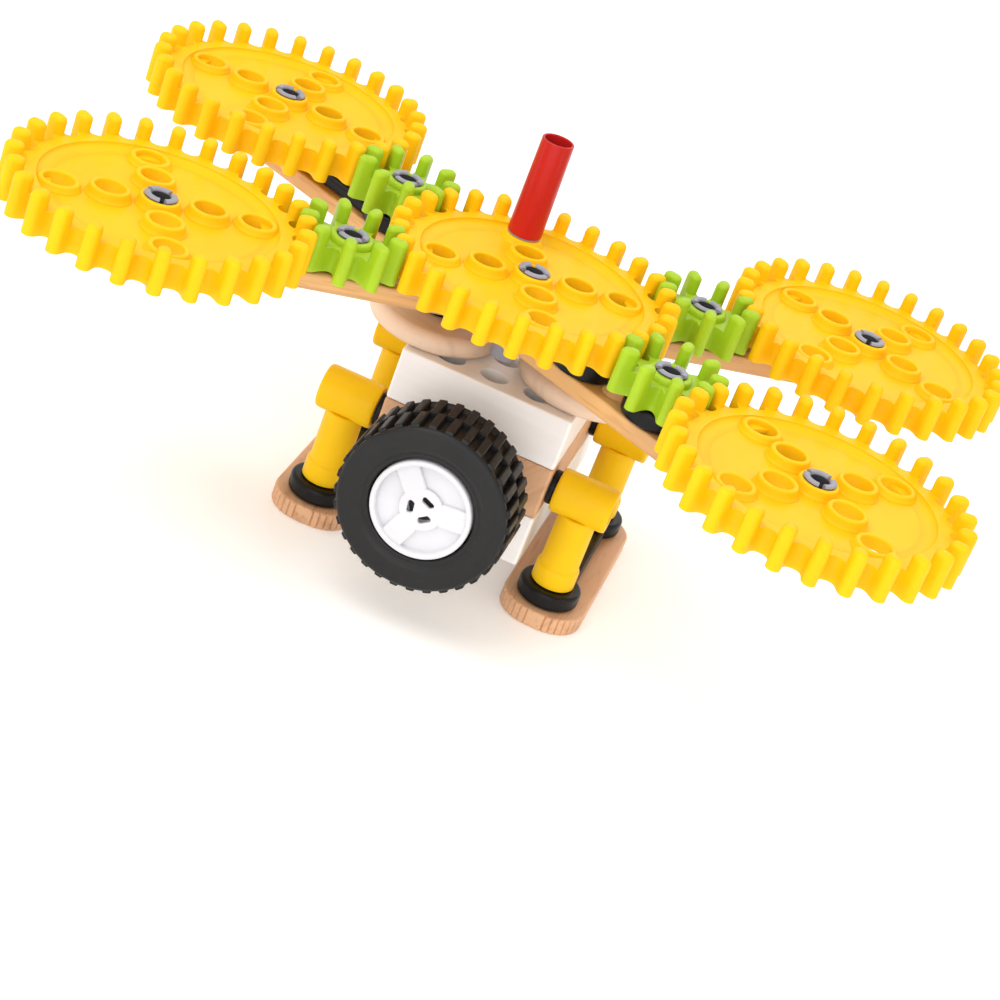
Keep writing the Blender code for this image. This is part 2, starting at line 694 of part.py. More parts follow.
def build_crank(builder, looks):
    head = GEAR_TOP + CLEARANCE
    foot = head + PIN_HEAD_THICKNESS + CLEARANCE
    peg_radius = SLEEVE_RADIUS - SLEEVE_WALL - CLEARANCE
    tail = GEAR_TOP - GEAR_BASE - WEB_THICKNESS
    peg = joined(
        cylinder(PIN_HEAD_RADIUS, 0.0, PIN_HEAD_THICKNESS, PIN_SIDES),
        [
            cylinder(PIN_RADIUS, -tail, PIN_HEAD_THICKNESS / 2, PIN_SIDES),
            cylinder(
                peg_radius, PIN_HEAD_THICKNESS / 2, SLEEVE_LENGTH - SLEEVE_PEG_SHORT, PIN_SIDES
            ),
        ],
    )
    x, y = crank_position()
    builder.add("crank_peg", peg, looks["grey"], (x, y, head))
    inner = SLEEVE_RADIUS - SLEEVE_WALL
    sleeve = ring_mesh(inner, SLEEVE_RADIUS, SLEEVE_LENGTH, LINK_SIDES)
    builder.add("crank_sleeve", sleeve, looks["red"], (x, y, foot))


def on_arm(arm, holes):
    direction = arm_directions()[arm]
    reach = holes * BEAM_HOLE_SPACING
    return (reach * cos(direction), reach * sin(direction))


def build_beams(builder, looks):
    """The two crossing strips and the black links that carry the lower strip's gears."""
    beam = beam_mesh()
    builder.add(
        "beam_upper", beam, looks["wood"], (0, 0, UPPER_BEAM_BASE), BEAM_ANGLES["upper"]
    )
    builder.add(
        "beam_lower", beam, looks["wood"], (0, 0, LOWER_BEAM_BASE), BEAM_ANGLES["lower"]
    )
    link = link_mesh(MESH_DISTANCE)
    for arm in ("left_rear", "right_front"):
        near = (
            MESH_DISTANCE * cos(arm_directions()[arm]),
            MESH_DISTANCE * sin(arm_directions()[arm]),
        )
        builder.add(
            f"beam_link_{arm}", link, looks["black"], (*near, UPPER_BEAM_BASE), arm_directions()[arm]
        )


def build_discs(builder, looks):
    """Wooden discs on the block, each under one beam, with the spacers and pins that join them."""
    for side, arm, top in (
        (-1, "left_rear", LOWER_BEAM_BASE),
        (1, "right_rear", UPPER_BEAM_BASE),
    ):
        name = "left" if side < 0 else "right"
        x, y = on_arm(arm, DISC_HOLE)
        row = STACK_PIN_ROWS["front"]
        offset = (side * STACK_PIN_COLUMN * PITCH - x, row * PITCH - y)
        builder.add(f"disc_{name}", disc_mesh(offset), looks["pale"], (x, y, DISC_BASE))
        height = top - SPACER_BASE - CLEARANCE
        spacer = ring_mesh(HOLE_RADIUS, SPACER_RADIUS, height)
        builder.add(f"spacer_{name}", spacer, looks["black"], (x, y, SPACER_BASE))
        bolt = plain_pin_mesh(PIN_RADIUS, DISC_BASE + CLEARANCE, top + STRIP_THICKNESS)
        builder.add(f"disc_pin_{name}", bolt, looks["grey"], (x, y, 0))
    x, y = on_arm("right_front", DISC_HOLE)
    ring = ring_mesh(HOLE_RADIUS, LINK_BOSS_RADIUS, STRIP_THICKNESS, ROUND_SIDES)
    builder.add("beam_ring", ring, looks["black"], (x, y, UPPER_BEAM_BASE))
    stud = plain_pin_mesh(PIN_RADIUS, LOWER_BEAM_BASE, UPPER_BEAM_BASE + STRIP_THICKNESS)
    builder.add("beam_ring_pin", stud, looks["grey"], (x, y, 0))


def build_blocks(builder, looks):
    """Three layers of blocks and the upright pins through them."""
    low = -BLOCK_MARGIN
    high = (BLOCK_ROWS - 1) * PITCH + BLOCK_MARGIN
    grid = [(column, row) for column in BLOCK_COLUMNS for row in range(BLOCK_ROWS)]
    white = block_mesh(low, high, grid)
    builder.add("block_lower", white, looks["white"], (0, 0, BLOCK_BASE))
    builder.add("block_upper", white, looks["white"], (0, 0, UPPER_BASE))
    pins = {
        place: [(-STACK_PIN_COLUMN, row), (STACK_PIN_COLUMN, row)] for place, row in STACK_PIN_ROWS.items()
    }
    leg_rows = {"front": 0, "rear": round(LEG_SPAN / PITCH)}
    ends = {"front": (low, BLOCK_JOINT - CLEARANCE / 2), "rear": (BLOCK_JOINT + CLEARANCE / 2, high)}
    for place, places in pins.items():
        mesh = middle_block_mesh(*ends[place], places, leg_rows[place])
        builder.add(f"block_middle_{place}", mesh, looks["oak"], (0, 0, MIDDLE_BASE))
    tops = {"front": DISC_BASE + DISC_THICKNESS, "rear": UPPER_BASE + BLOCK_THICKNESS}
    for place, places in pins.items():
        pin = plain_pin_mesh(PIN_RADIUS, BLOCK_BASE + CLEARANCE, tops[place])
        for column, row in places:
            side = "left" if column < 0 else "right"
            at = (column * PITCH, row * PITCH, 0)
            builder.add(f"stack_pin_{place}_{side}", pin, looks["grey"], at)


def build_legs(builder, looks):
    """Four T-shaped legs with their washers and pins, two links and two skids."""
    leg = leg_mesh()
    washer = ring_mesh(HOLE_RADIUS, LEG_WASHER_RADIUS, LEG_WASHER_THICKNESS)
    washer.transform(Matrix.Rotation(pi / 2, 4, "Y"))
    half = BLOCK_WIDTH / 2
    pin = plain_pin_mesh(
        PIN_RADIUS, half - LEG_PIN_DEPTH, LEG_HEAD_INNER + LEG_HEAD_LENGTH - 2 * CLEARANCE, "X"
    )
    link = link_mesh(LEG_SPAN)
    skid = skid_mesh()
    for side, name in ((-1, "left"), (1, "right")):
        turn = 0.0 if side > 0 else pi
        x = side * LEG_AXIS_X
        for row, place in ((0.0, "front"), (LEG_SPAN, "rear")):
            builder.add(f"leg_{name}_{place}", leg, looks["amber"], (x, row, LEG_AXIS), turn)
            builder.add(
                f"leg_washer_{name}_{place}",
                washer,
                looks["black"],
                (side * (half + CLEARANCE), row, LEG_AXIS),
                turn,
            )
            builder.add(f"leg_pin_{name}_{place}", pin, looks["grey"], (0, row, LEG_AXIS), turn)
        builder.add(f"foot_link_{name}", link, looks["black"], (x, 0, LINK_BASE), pi / 2)
        builder.add(f"skid_{name}", skid, looks["wood"], (x, 0, 0))


def build_wheel(builder, looks):
    """Tyre, hub, axle and the spacer behind the hub, on an axis along Y."""
    centre = (0, -TYRE_FRONT, LEG_AXIS)
    builder.add("tyre", tyre_mesh(), looks["rubber"], centre, tilt=pi / 2)
    builder.add("wheel_hub", hub_mesh(), looks["hub"], centre, tilt=pi / 2)
    nose = -HUB_CAP_DROP - HUB_CAP_THICKNESS - CLEARANCE
    tail = -(TYRE_FRONT + BLOCK_FRONT) - AXLE_DEPTH
    axle = plain_pin_mesh(PIN_RADIUS, tail, nose)
    builder.add("wheel_axle", axle, looks["grey"], centre, tilt=pi / 2)
    hub_end = -TYRE_WIDTH - CLEARANCE
    length = TYRE_FRONT + BLOCK_FRONT + hub_end - CLEARANCE
    spacer = ring_mesh(HOLE_RADIUS, HUB_BOSS_RADIUS, length)
    builder.add(
        "wheel_spacer", spacer, looks["black"], (0, BLOCK_FRONT - CLEARANCE, LEG_AXIS), tilt=pi / 2
    )


def main():
    clear_scene()
    looks = {
        "yellow": material("yellow_plastic", (1.0, 0.62, 0.01), 0.4),
        "amber": material("amber_plastic", (1.0, 0.50, 0.01), 0.4),
        "green": material("green_plastic", (0.30, 0.60, 0.03), 0.35),
        "red": material("red_plastic", (0.70, 0.012, 0.012), 0.35),
        "grey": material("grey_plastic", (0.22, 0.22, 0.25), 0.45),
        "black": material("black_plastic", (0.012, 0.012, 0.014), 0.4),
        "wood": material("beech", (0.68, 0.42, 0.22), 0.55),
        "oak": material("dark_beech", (0.55, 0.31, 0.16), 0.6),
        "pale": material("pale_wood", (0.80, 0.66, 0.52), 0.5),
        "white": material("white_paint", (0.88, 0.86, 0.84), 0.5),
        "rubber": material("rubber", (0.02, 0.02, 0.02), 0.7),
        "hub": material("white_plastic", (0.85, 0.85, 0.87), 0.35),
    }
    builder = Builder()
    build_train(builder, looks)
    build_beams(builder, looks)
    build_discs(builder, looks)
    build_blocks(builder, looks)
    build_legs(builder, looks)
    build_wheel(builder, looks)


main()
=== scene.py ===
"""Looks of a construction toy: a train of gears on a block stand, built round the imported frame."""

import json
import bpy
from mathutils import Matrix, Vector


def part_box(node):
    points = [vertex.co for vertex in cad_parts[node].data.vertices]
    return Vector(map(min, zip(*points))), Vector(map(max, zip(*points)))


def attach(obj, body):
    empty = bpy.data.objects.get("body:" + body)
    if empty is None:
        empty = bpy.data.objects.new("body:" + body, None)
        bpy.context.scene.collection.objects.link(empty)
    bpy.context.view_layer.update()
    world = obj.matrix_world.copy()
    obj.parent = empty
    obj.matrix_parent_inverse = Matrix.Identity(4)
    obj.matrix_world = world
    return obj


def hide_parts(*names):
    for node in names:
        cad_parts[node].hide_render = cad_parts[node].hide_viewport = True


bl_info = {
    "name": "Construction toy with a gear train",
    "version": (1, 0, 0),
    "blender": (4, 5, 0),
    "location": "View3D > Sidebar > Toy",
    "description": "Builds the toy's gears, pins, wooden pieces and wheel with their materials",
    "category": "Object",
}

from math import asin, cos, copysign, pi, radians, sin, sqrt

import bmesh
import bpy
from bpy.props import FloatProperty, FloatVectorProperty, IntProperty, PointerProperty
from mathutils import Matrix, Vector

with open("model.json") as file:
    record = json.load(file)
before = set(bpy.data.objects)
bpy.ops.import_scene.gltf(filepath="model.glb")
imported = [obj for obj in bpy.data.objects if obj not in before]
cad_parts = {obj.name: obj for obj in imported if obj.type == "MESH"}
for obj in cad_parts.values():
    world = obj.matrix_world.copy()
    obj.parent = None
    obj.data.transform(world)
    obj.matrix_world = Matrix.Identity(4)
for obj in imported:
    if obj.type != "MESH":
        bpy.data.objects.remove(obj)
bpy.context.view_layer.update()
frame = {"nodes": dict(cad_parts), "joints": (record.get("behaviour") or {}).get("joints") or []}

MM = 0.001
PITCH = 15.0 * MM
ARMS = ("left_front", "right_rear", "left_rear", "right_front")
ARM_ANGLES = {
    "left_front": radians(30.9) + pi,
    "right_rear": radians(30.9),
    "left_rear": radians(-28.4) + pi,
    "right_front": radians(-28.4),
}
CENTRE_CROSS = radians(21.8)
CROSS_TARGETS = {
    "left_front": radians(27.8),
    "right_rear": radians(-27.2),
    "left_rear": radians(-5.9),
    "right_front": radians(46.7),
}
GEAR_TEETH = 27
PINION_TEETH = 9
FIRST_TOOTH = radians(45)
LIP_STEPS = 4
ROUND_STEPS = 48
HOLE_RADIUS = 4.65 * MM
HOLE_STEPS = 28
HUB_TURN = radians(6)


def joint_places():
    """Where each joint's axis is, and the body that it turns."""
    return {joint["child"]: Vector(joint["pos_m"]) for joint in frame["joints"]}


PLACES = joint_places()


# Meshes


def soften(points, radius, steps=3, closed=True):
    """The same outline with each corner turned into a short curve."""
    made = []
    count = len(points)
    for index, point in enumerate(points):
        here = Vector(point)
        if not closed and index in (0, count - 1):
            made.append(tuple(here))
            continue
        before = Vector(points[index - 1])
        after = Vector(points[(index + 1) % count])
        reach_before = min(radius, (before - here).length * 0.45)
        reach_after = min(radius, (after - here).length * 0.45)
        start = here + (before - here).normalized() * reach_before
        end = here + (after - here).normalized() * reach_after
        for step in range(steps + 1):
            part = step / steps
            bend = (
                start * (1 - part) ** 2 + here * 2 * part * (1 - part) + end * part**2
            )
            made.append(tuple(bend))
    return made


def settled(bm):
    """The bmesh as a mesh with no doubled points, its faces pointing outwards."""
    bmesh.ops.remove_doubles(bm, verts=bm.verts, dist=2e-6)
    bmesh.ops.recalc_face_normals(bm, faces=bm.faces)
    mesh = bpy.data.meshes.new("shape")
    bm.to_mesh(mesh)
    bm.free()
    return mesh


def lathe(profile, steps=ROUND_STEPS, angle=2 * pi, start=0.0):
    """A section of (radius, height) points spun round Z."""
    bm = bmesh.new()
    verts = [bm.verts.new((radius, 0, height)) for radius, height in profile]
    on_axis = profile[0][0] == 0 and profile[-1][0] == 0
    following = verts[1:] if on_axis else verts[1:] + verts[:1]
    edges = [bm.edges.new(pair) for pair in zip(verts, following)]
    full = abs(angle - 2 * pi) < 1e-6
    if start:
        bmesh.ops.rotate(bm, cent=(0, 0, 0), matrix=Matrix.Rotation(start, 3, "Z"), verts=verts)
    bmesh.ops.spin(
        bm,
        geom=verts + edges,
        cent=(0, 0, 0),
        axis=(0, 0, 1),
        dvec=(0, 0, 0),
        angle=angle,
        steps=steps,
        use_merge=full,
        use_normal_flip=False,
        use_duplicate=False,
    )
    if not full:
        bmesh.ops.holes_fill(bm, edges=[edge for edge in bm.edges if edge.is_boundary], sides=0)
    return settled(bm)


def edge_loop(bm, radius, height, count, centre, stretch=(0.0, 0.0), ribs=0.0, swing=0.0,
              point=0.0):
    """A circle of edges whose quarters are moved apart, which gives a rounded rectangle.

    Every sixth vertex is drawn in by ribs, and the lower side is drawn out to a point.
    """
    turn = Matrix.Rotation(pi / count, 4, "Z")
    verts = bmesh.ops.create_circle(
        bm, cap_ends=False, segments=count, radius=radius, matrix=turn
    )["verts"]
    reach = radius + stretch[0]
    for index, vert in enumerate(verts):
        if index % 6 == 3:
            vert.co *= 1 - ribs / radius
        vert.co.x += copysign(stretch[0], vert.co.x)
        vert.co.y += copysign(stretch[1], vert.co.y)
        if vert.co.y < 0:
            vert.co.y -= point * (1 - abs(vert.co.x) / reach)
    edges = list({edge for vert in verts for edge in vert.link_edges})
    matrix = Matrix.Translation((centre[0], centre[1], height)) @ Matrix.Rotation(swing, 4, "Z")
    bmesh.ops.transform(bm, matrix=matrix, verts=verts)
    return edges


def plate(half, corner, holes, bottom, top, lip, hole_lip=0.4 * MM, centre=(0.0, 0.0),
          count=64, ribs=0.0):
    """Flat piece with round holes and soft edges: the upper half is made, then mirrored."""
    bm = bmesh.new()
    thickness = (top - bottom) / 2
    stretch = (half[0] - corner, half[1] - corner)
    outlines = [(corner, 1, centre, stretch, count, lip, ribs, 0.0, 0.0)]
    for x, y, radius, *slot in holes:
        spread, swing, point = slot or ((0.0, 0.0), 0.0, 0.0)
        outlines.append((radius, -1, (x, y), spread, HOLE_STEPS, hole_lip, 0.0, swing, point))
    rims = []
    for radius, side, at, spread, steps, soft, rib, swing, point in outlines:
        loops = []
        for step in range(LIP_STEPS + 1):
            turn = pi / 2 * step / LIP_STEPS
            reach = radius - side * soft * (1 - sin(turn))
            height = thickness - soft * (1 - cos(turn))
            loops.append(edge_loop(bm, reach, height, steps, at, spread, rib, swing, point))
        loops.append(edge_loop(bm, radius, 0.0, steps, at, spread, rib, swing, point))
        rims += loops[0]
        for upper, lower in zip(loops, loops[1:]):
            bmesh.ops.bridge_loops(bm, edges=upper + lower)
    bmesh.ops.triangle_fill(bm, use_beauty=True, use_dissolve=False, edges=rims)
    everything = bm.verts[:] + bm.edges[:] + bm.faces[:]
    bmesh.ops.mirror(bm, geom=everything, merge_dist=1e-6, axis="Z")
    bmesh.ops.translate(bm, vec=(0, 0, (top + bottom) / 2), verts=bm.verts)
    return settled(bm)


def toothed_sheet(teeth, inner_radius, valley_radius, tip_radius, width, base, heel):
    """Flat sheet of a toothed rim: one tooth is drawn, then turned round the axis in copies."""
    bm = bmesh.new()
    half_step = pi / teeth
    half = width / 2
    valley = Vector((valley_radius * cos(half_step), valley_radius * sin(half_step)))
    scallop = []
    for step in range(5):
        turn = pi / 2 * step / 4
        x = base - (base - valley.x) * sin(turn)
        y = half + (valley.y - half) * (1 - cos(turn))
        scallop.append((x, y))
    tip = []
    for step in range(9):
        turn = -pi / 2 + pi * step / 8
        tip.append((tip_radius - half + half * cos(turn), half * sin(turn)))
    inner_turns = [-half_step + 2 * half_step * step / 4 for step in range(5)]
    inner = [bm.verts.new((inner_radius * cos(t), inner_radius * sin(t), 0)) for t in inner_turns]
    upper = [bm.verts.new((x, y, 0)) for x, y in scallop]
    lower = [bm.verts.new((x, -y, 0)) for x, y in scallop]
    crown = [bm.verts.new((x, y, 0)) for x, y in tip]
    heels = []
    for step in range(7):
        turn = -pi / 2 - pi * step / 6
        heels.append(bm.verts.new((heel + half + half * cos(turn), half * sin(turn), 0)))
    tooth = bm.faces.new(crown + heels[::-1])
    tooth.material_index = 1
    bm.faces.new(inner[::-1] + lower[::-1] + heels + upper)
    copies = teeth - 1
    bmesh.ops.spin(
        bm,
        geom=bm.verts[:] + bm.edges[:] + bm.faces[:],
        cent=(0, 0, 0),
        axis=(0, 0, 1),
        dvec=(0, 0, 0),
        angle=2 * pi * copies / teeth,
        steps=copies,
        use_merge=False,
        use_normal_flip=False,
        use_duplicate=True,
    )
    bmesh.ops.remove_doubles(bm, verts=bm.verts, dist=2e-6)
    return bm


def raised(bm, faces, height, keep):
    """Extrudes faces by a height, and keeps or drops the faces that they came from."""
    made = bmesh.ops.extrude_face_region(bm, geom=faces, use_keep_orig=keep)["geom"]
    verts = [item for item in made if isinstance(item, bmesh.types.BMVert)]
    bmesh.ops.translate(bm, vec=(0, 0, height), verts=verts)
    if not keep:
        old = [face for face in faces if face.is_valid]
        bmesh.ops.delete(bm, geom=old, context="FACES_ONLY")


def toothed_body(sheet, bottom, top, tooth_top, crown):
    """The sheet given its thickness, with round-topped teeth standing above the rim."""
    bmesh.ops.translate(sheet, vec=(0, 0, top), verts=sheet.verts)
    raised(sheet, sheet.faces[:], bottom - top, True)
    teeth = [
        face
        for face in sheet.faces
        if face.material_index == 1 and abs(face.calc_center_median().z - top) < 1e-6
    ]
    raised(sheet, teeth, tooth_top - top, False)
    upper = [face for face in sheet.faces if face.calc_center_median().z > tooth_top - 1e-6]
    edges = list({edge for face in upper for edge in face.edges})
    bmesh.ops.bevel(
        sheet, geom=edges, offset=crown, segments=4, profile=0.5, affect="EDGES", material=-1,
        clamp_overlap=True,
    )
    for face in sheet.faces:
        face.material_index = 0
    return settled(sheet)


def gather(shapes):
    """One bmesh from several (mesh, matrix) pairs."""
    bm = bmesh.new()
    for mesh, matrix in shapes:
        before = len(bm.verts)
        bm.from_mesh(mesh)
        bm.verts.ensure_lookup_table()
        bmesh.ops.transform(bm, matrix=matrix, verts=bm.verts[before:])
    return bm


def piece(name, shapes, look, body, nodes, edge=0.0, edge_steps=2):
    """A finished piece: its shapes in place, its material, and the nodes that it stands for."""
    bm = gather(shapes)
    mesh = bpy.data.meshes.new(name)
    bm.to_mesh(mesh)
    bm.free()
    mesh.materials.append(look)
    mesh.shade_smooth()
    mesh.set_sharp_from_angle(angle=radians(42))
    obj = bpy.data.objects.new(name, mesh)
    bpy.context.scene.collection.objects.link(obj)
    if edge:
        bevel = obj.modifiers.new("soft edges", "BEVEL")
        bevel.width = edge
        bevel.segments = edge_steps
        bevel.limit_method = "ANGLE"
        bevel.angle_limit = radians(42)
        bevel.use_clamp_overlap = True
    weigh = obj.modifiers.new("even shading", "WEIGHTED_NORMAL")
    weigh.keep_sharp = not edge
    weigh.weight = 60
    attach(obj, body)
    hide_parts(*nodes)
    return obj


def at(x=0.0, y=0.0, z=0.0, turn=0.0):
    return Matrix.Translation((x, y, z)) @ Matrix.Rotation(turn, 4, "Z")


ALONG_X = Matrix.Rotation(pi / 2, 4, "Y")
FACING_FRONT = Matrix.Rotation(pi / 2, 4, "X")


def wrapped(angle, period):
    return (angle + period / 2) % period - period / 2


def meshed(driver, driver_teeth, teeth, direction):
    """Angle of a tooth that meshes with a driver which lies behind along the direction."""
    return direction + pi + (pi - driver_teeth * (driver - direction)) / teeth


def train_turns():
    """Turn of each pinion, and of the hole cross of each outer gear."""
    turns = {}
    for arm, direction in ARM_ANGLES.items():
        pinion = meshed(CENTRE_CROSS + FIRST_TOOTH, GEAR_TEETH, PINION_TEETH, direction)
        outer = meshed(pinion, PINION_TEETH, GEAR_TEETH, direction) - FIRST_TOOTH
        period = 2 * pi / GEAR_TEETH
        targets = [CROSS_TARGETS[arm] + quarter * pi / 2 for quarter in range(4)]
        target = min(targets, key=lambda angle: abs(wrapped(outer - angle, period)))
        turns[arm] = (pinion, target + wrapped(outer - target, period))
    return turns


TURNS = train_turns()


# Materials


class Look:
    """Builds one node material, with short names for what every material here needs."""

    def __init__(self, name):
        self.material = bpy.data.materials.new(name)
        self.material.use_nodes = True
        self.tree = self.material.node_tree
        self.shader = self.tree.nodes["Principled BSDF"]
        self.coords = self.add("ShaderNodeTexCoord").outputs["Object"]

    def add(self, kind, **settings):
        node = self.tree.nodes.new(kind)
        for key, value in settings.items():
            setattr(node, key, value)
        return node

    def join(self, source, target):
        self.tree.links.new(source, target)

    def mapping(self, scale, turn, shift=(0, 0, 0), tilt=0.0):
        """Turns the pattern about Z and tilts it about Y, then stretches it."""
        turned = self.add("ShaderNodeMapping")
        turned.inputs["Rotation"].default_value = (0, tilt, turn)
        self.join(self.coords, turned.inputs["Vector"])
        stretched = self.add("ShaderNodeMapping")
        stretched.inputs["Location"].default_value = shift
        stretched.inputs["Scale"].default_value = scale
        self.join(turned.outputs["Vector"], stretched.inputs["Vector"])
        return stretched.outputs["Vector"]

    def noise(self, scale, detail=3.0, rough=0.5, distortion=0.0, vector=None):
        node = self.add("ShaderNodeTexNoise")
        node.inputs["Scale"].default_value = scale
        node.inputs["Detail"].default_value = detail
        node.inputs["Roughness"].default_value = rough
        node.inputs["Distortion"].default_value = distortion
        self.join(vector or self.coords, node.inputs["Vector"])
        return node.outputs["Fac"]

    def ramp(self, factor, stops):
        node = self.add("ShaderNodeValToRGB")
        ramp = node.color_ramp
        while len(ramp.elements) < len(stops):
            ramp.elements.new(0.5)
        for element, (place, colour) in zip(ramp.elements, stops):
            element.position = place
            element.color = (*colour, 1.0)
        self.join(factor, node.inputs["Fac"])
        return node.outputs["Color"]

    def range(self, factor, low, high):
        node = self.add("ShaderNodeMapRange")
        node.inputs["To Min"].default_value = low
        node.inputs["To Max"].default_value = high
        self.join(factor, node.inputs["Value"])
        return node.outputs["Result"]

    def mix(self, factor, first, second, kind="MIX"):
        node = self.add("ShaderNodeMix", data_type="RGBA", blend_type=kind)
        if isinstance(factor, float):
            node.inputs["Factor"].default_value = factor
        else:
            self.join(factor, node.inputs["Factor"])
        self.join(first, node.inputs["A"])
        self.join(second, node.inputs["B"])
        return node.outputs["Result"]

    def bump(self, heights):
        """Chains (height, strength, distance) bumps onto the shader's normal."""
        normal = None
        for height, strength, distance in heights:
            node = self.add("ShaderNodeBump")
            node.inputs["Strength"].default_value = strength
            node.inputs["Distance"].default_value = distance
            self.join(height, node.inputs["Height"])
            if normal:
                self.join(normal, node.inputs["Normal"])
            normal = node.outputs["Normal"]
        self.join(normal, self.shader.inputs["Normal"])

    def set(self, **values):
        for name, value in values.items():
            self.shader.inputs[name.replace("_", " ")].default_value = value


def tint(colour, factor):
    return tuple(min(1.0, channel * factor) for channel in colour[:3])


def plastic_look(name, colour, roughness=0.32, glow=0.0, gloss=0.28):
    """Moulded plastic: faint flow marks in the colour and a fine, uneven satin surface."""
    look = Look(name)
    flow = look.noise(38.0, 4.0, 0.55, 0.6)
    base = look.ramp(
        flow, [(0.30, tint(colour, 0.93)), (0.55, colour[:3]), (0.80, tint(colour, 1.05))]
    )
    look.join(base, look.shader.inputs["Base Color"])
    satin = look.noise(420.0, 3.0, 0.6)
    look.join(
        look.range(satin, roughness * 0.8, roughness * 1.25), look.shader.inputs["Roughness"]
    )
    look.bump([(satin, 0.06, 0.1 * MM), (look.noise(55.0, 2.0), 0.05, 0.4 * MM)])
    look.set(Specular_IOR_Level=gloss)
    if glow:
        strongest = max(colour[:3])
        look.set(Subsurface_Weight=glow, Subsurface_Scale=2.0 * MM)
        look.set(Subsurface_Radius=tuple(sqrt(channel / strongest) for channel in colour[:3]))
    return look.material


def wood_look(name, pale, dark, turn=0.0, shift=(0, 0, 0), lines=1.0, roughness=0.5, tilt=0.0):
    """Beech: long wavy grain with short faint flecks along it."""
    look = Look(name)
    along = look.mapping((9.0, 95.0, 95.0), -turn, shift, tilt=tilt)
    rings = look.noise(1.0, 3.0, 0.6, 0.9, along)
    bands = look.ramp(rings, [(0.28, dark), (0.48, pale), (0.66, tint(pale, 1.05))])
    short = look.mapping((75.0, 900.0, 900.0), -turn, shift, tilt=tilt)
    flecks = look.noise(1.0, 2.0, 0.5, 0.0, short)
    fleck_tone = look.ramp(flecks, [(0.30, tint(dark, 1.1)), (0.45, (1.0, 1.0, 1.0))])
    grain = look.mix(0.30 * lines, bands, fleck_tone, "MULTIPLY")
    wide = look.noise(14.0, 2.0, 0.5)
    tone = look.ramp(wide, [(0.3, (0.90, 0.88, 0.86)), (0.7, (1.0, 1.0, 1.0))])
    look.join(look.mix(0.6, grain, tone, "MULTIPLY"), look.shader.inputs["Base Color"])
    look.join(look.range(rings, roughness * 0.85, roughness * 1.2), look.shader.inputs["Roughness"])
    look.bump([(flecks, 0.25, 0.15 * MM), (rings, 0.15, 0.2 * MM)])
    return look.material


def painted_wood_look(name, colour, turn=0.0):
    """White paint on wood: the grain shows faintly through it."""
    look = Look(name)
    along = look.mapping((20.0, 190.0, 190.0), turn)
    grain = look.noise(1.0, 3.0, 0.6, 0.5, along)
    base = look.ramp(grain, [(0.3, tint(colour, 0.955)), (0.6, colour[:3])])
    look.join(base, look.shader.inputs["Base Color"])
    fine = look.noise(520.0, 2.0)
    look.join(look.range(fine, 0.34, 0.5), look.shader.inputs["Roughness"])
    look.bump([(grain, 0.12, 0.15 * MM), (fine, 0.05, 0.08 * MM)])
    look.set(Coat_Weight=0.1, Coat_Roughness=0.3)
    return look.material


def rubber_look(name, colour):
    """Moulded rubber: a cloudy, uneven tone and a fine, uneven roughness."""
    look = Look(name)
    cloud = look.noise(60.0, 4.0, 0.6)
    base = look.ramp(cloud, [(0.3, tint(colour, 0.8)), (0.7, tint(colour, 1.2))])
    look.join(base, look.shader.inputs["Base Color"])
    fine = look.noise(700.0, 3.0, 0.6)
    look.join(look.range(fine, 0.36, 0.55), look.shader.inputs["Roughness"])
    look.bump([(fine, 0.12, 0.1 * MM), (cloud, 0.08, 0.3 * MM)])
    look.set(Specular_IOR_Level=0.3)
    return look.material


# Settings


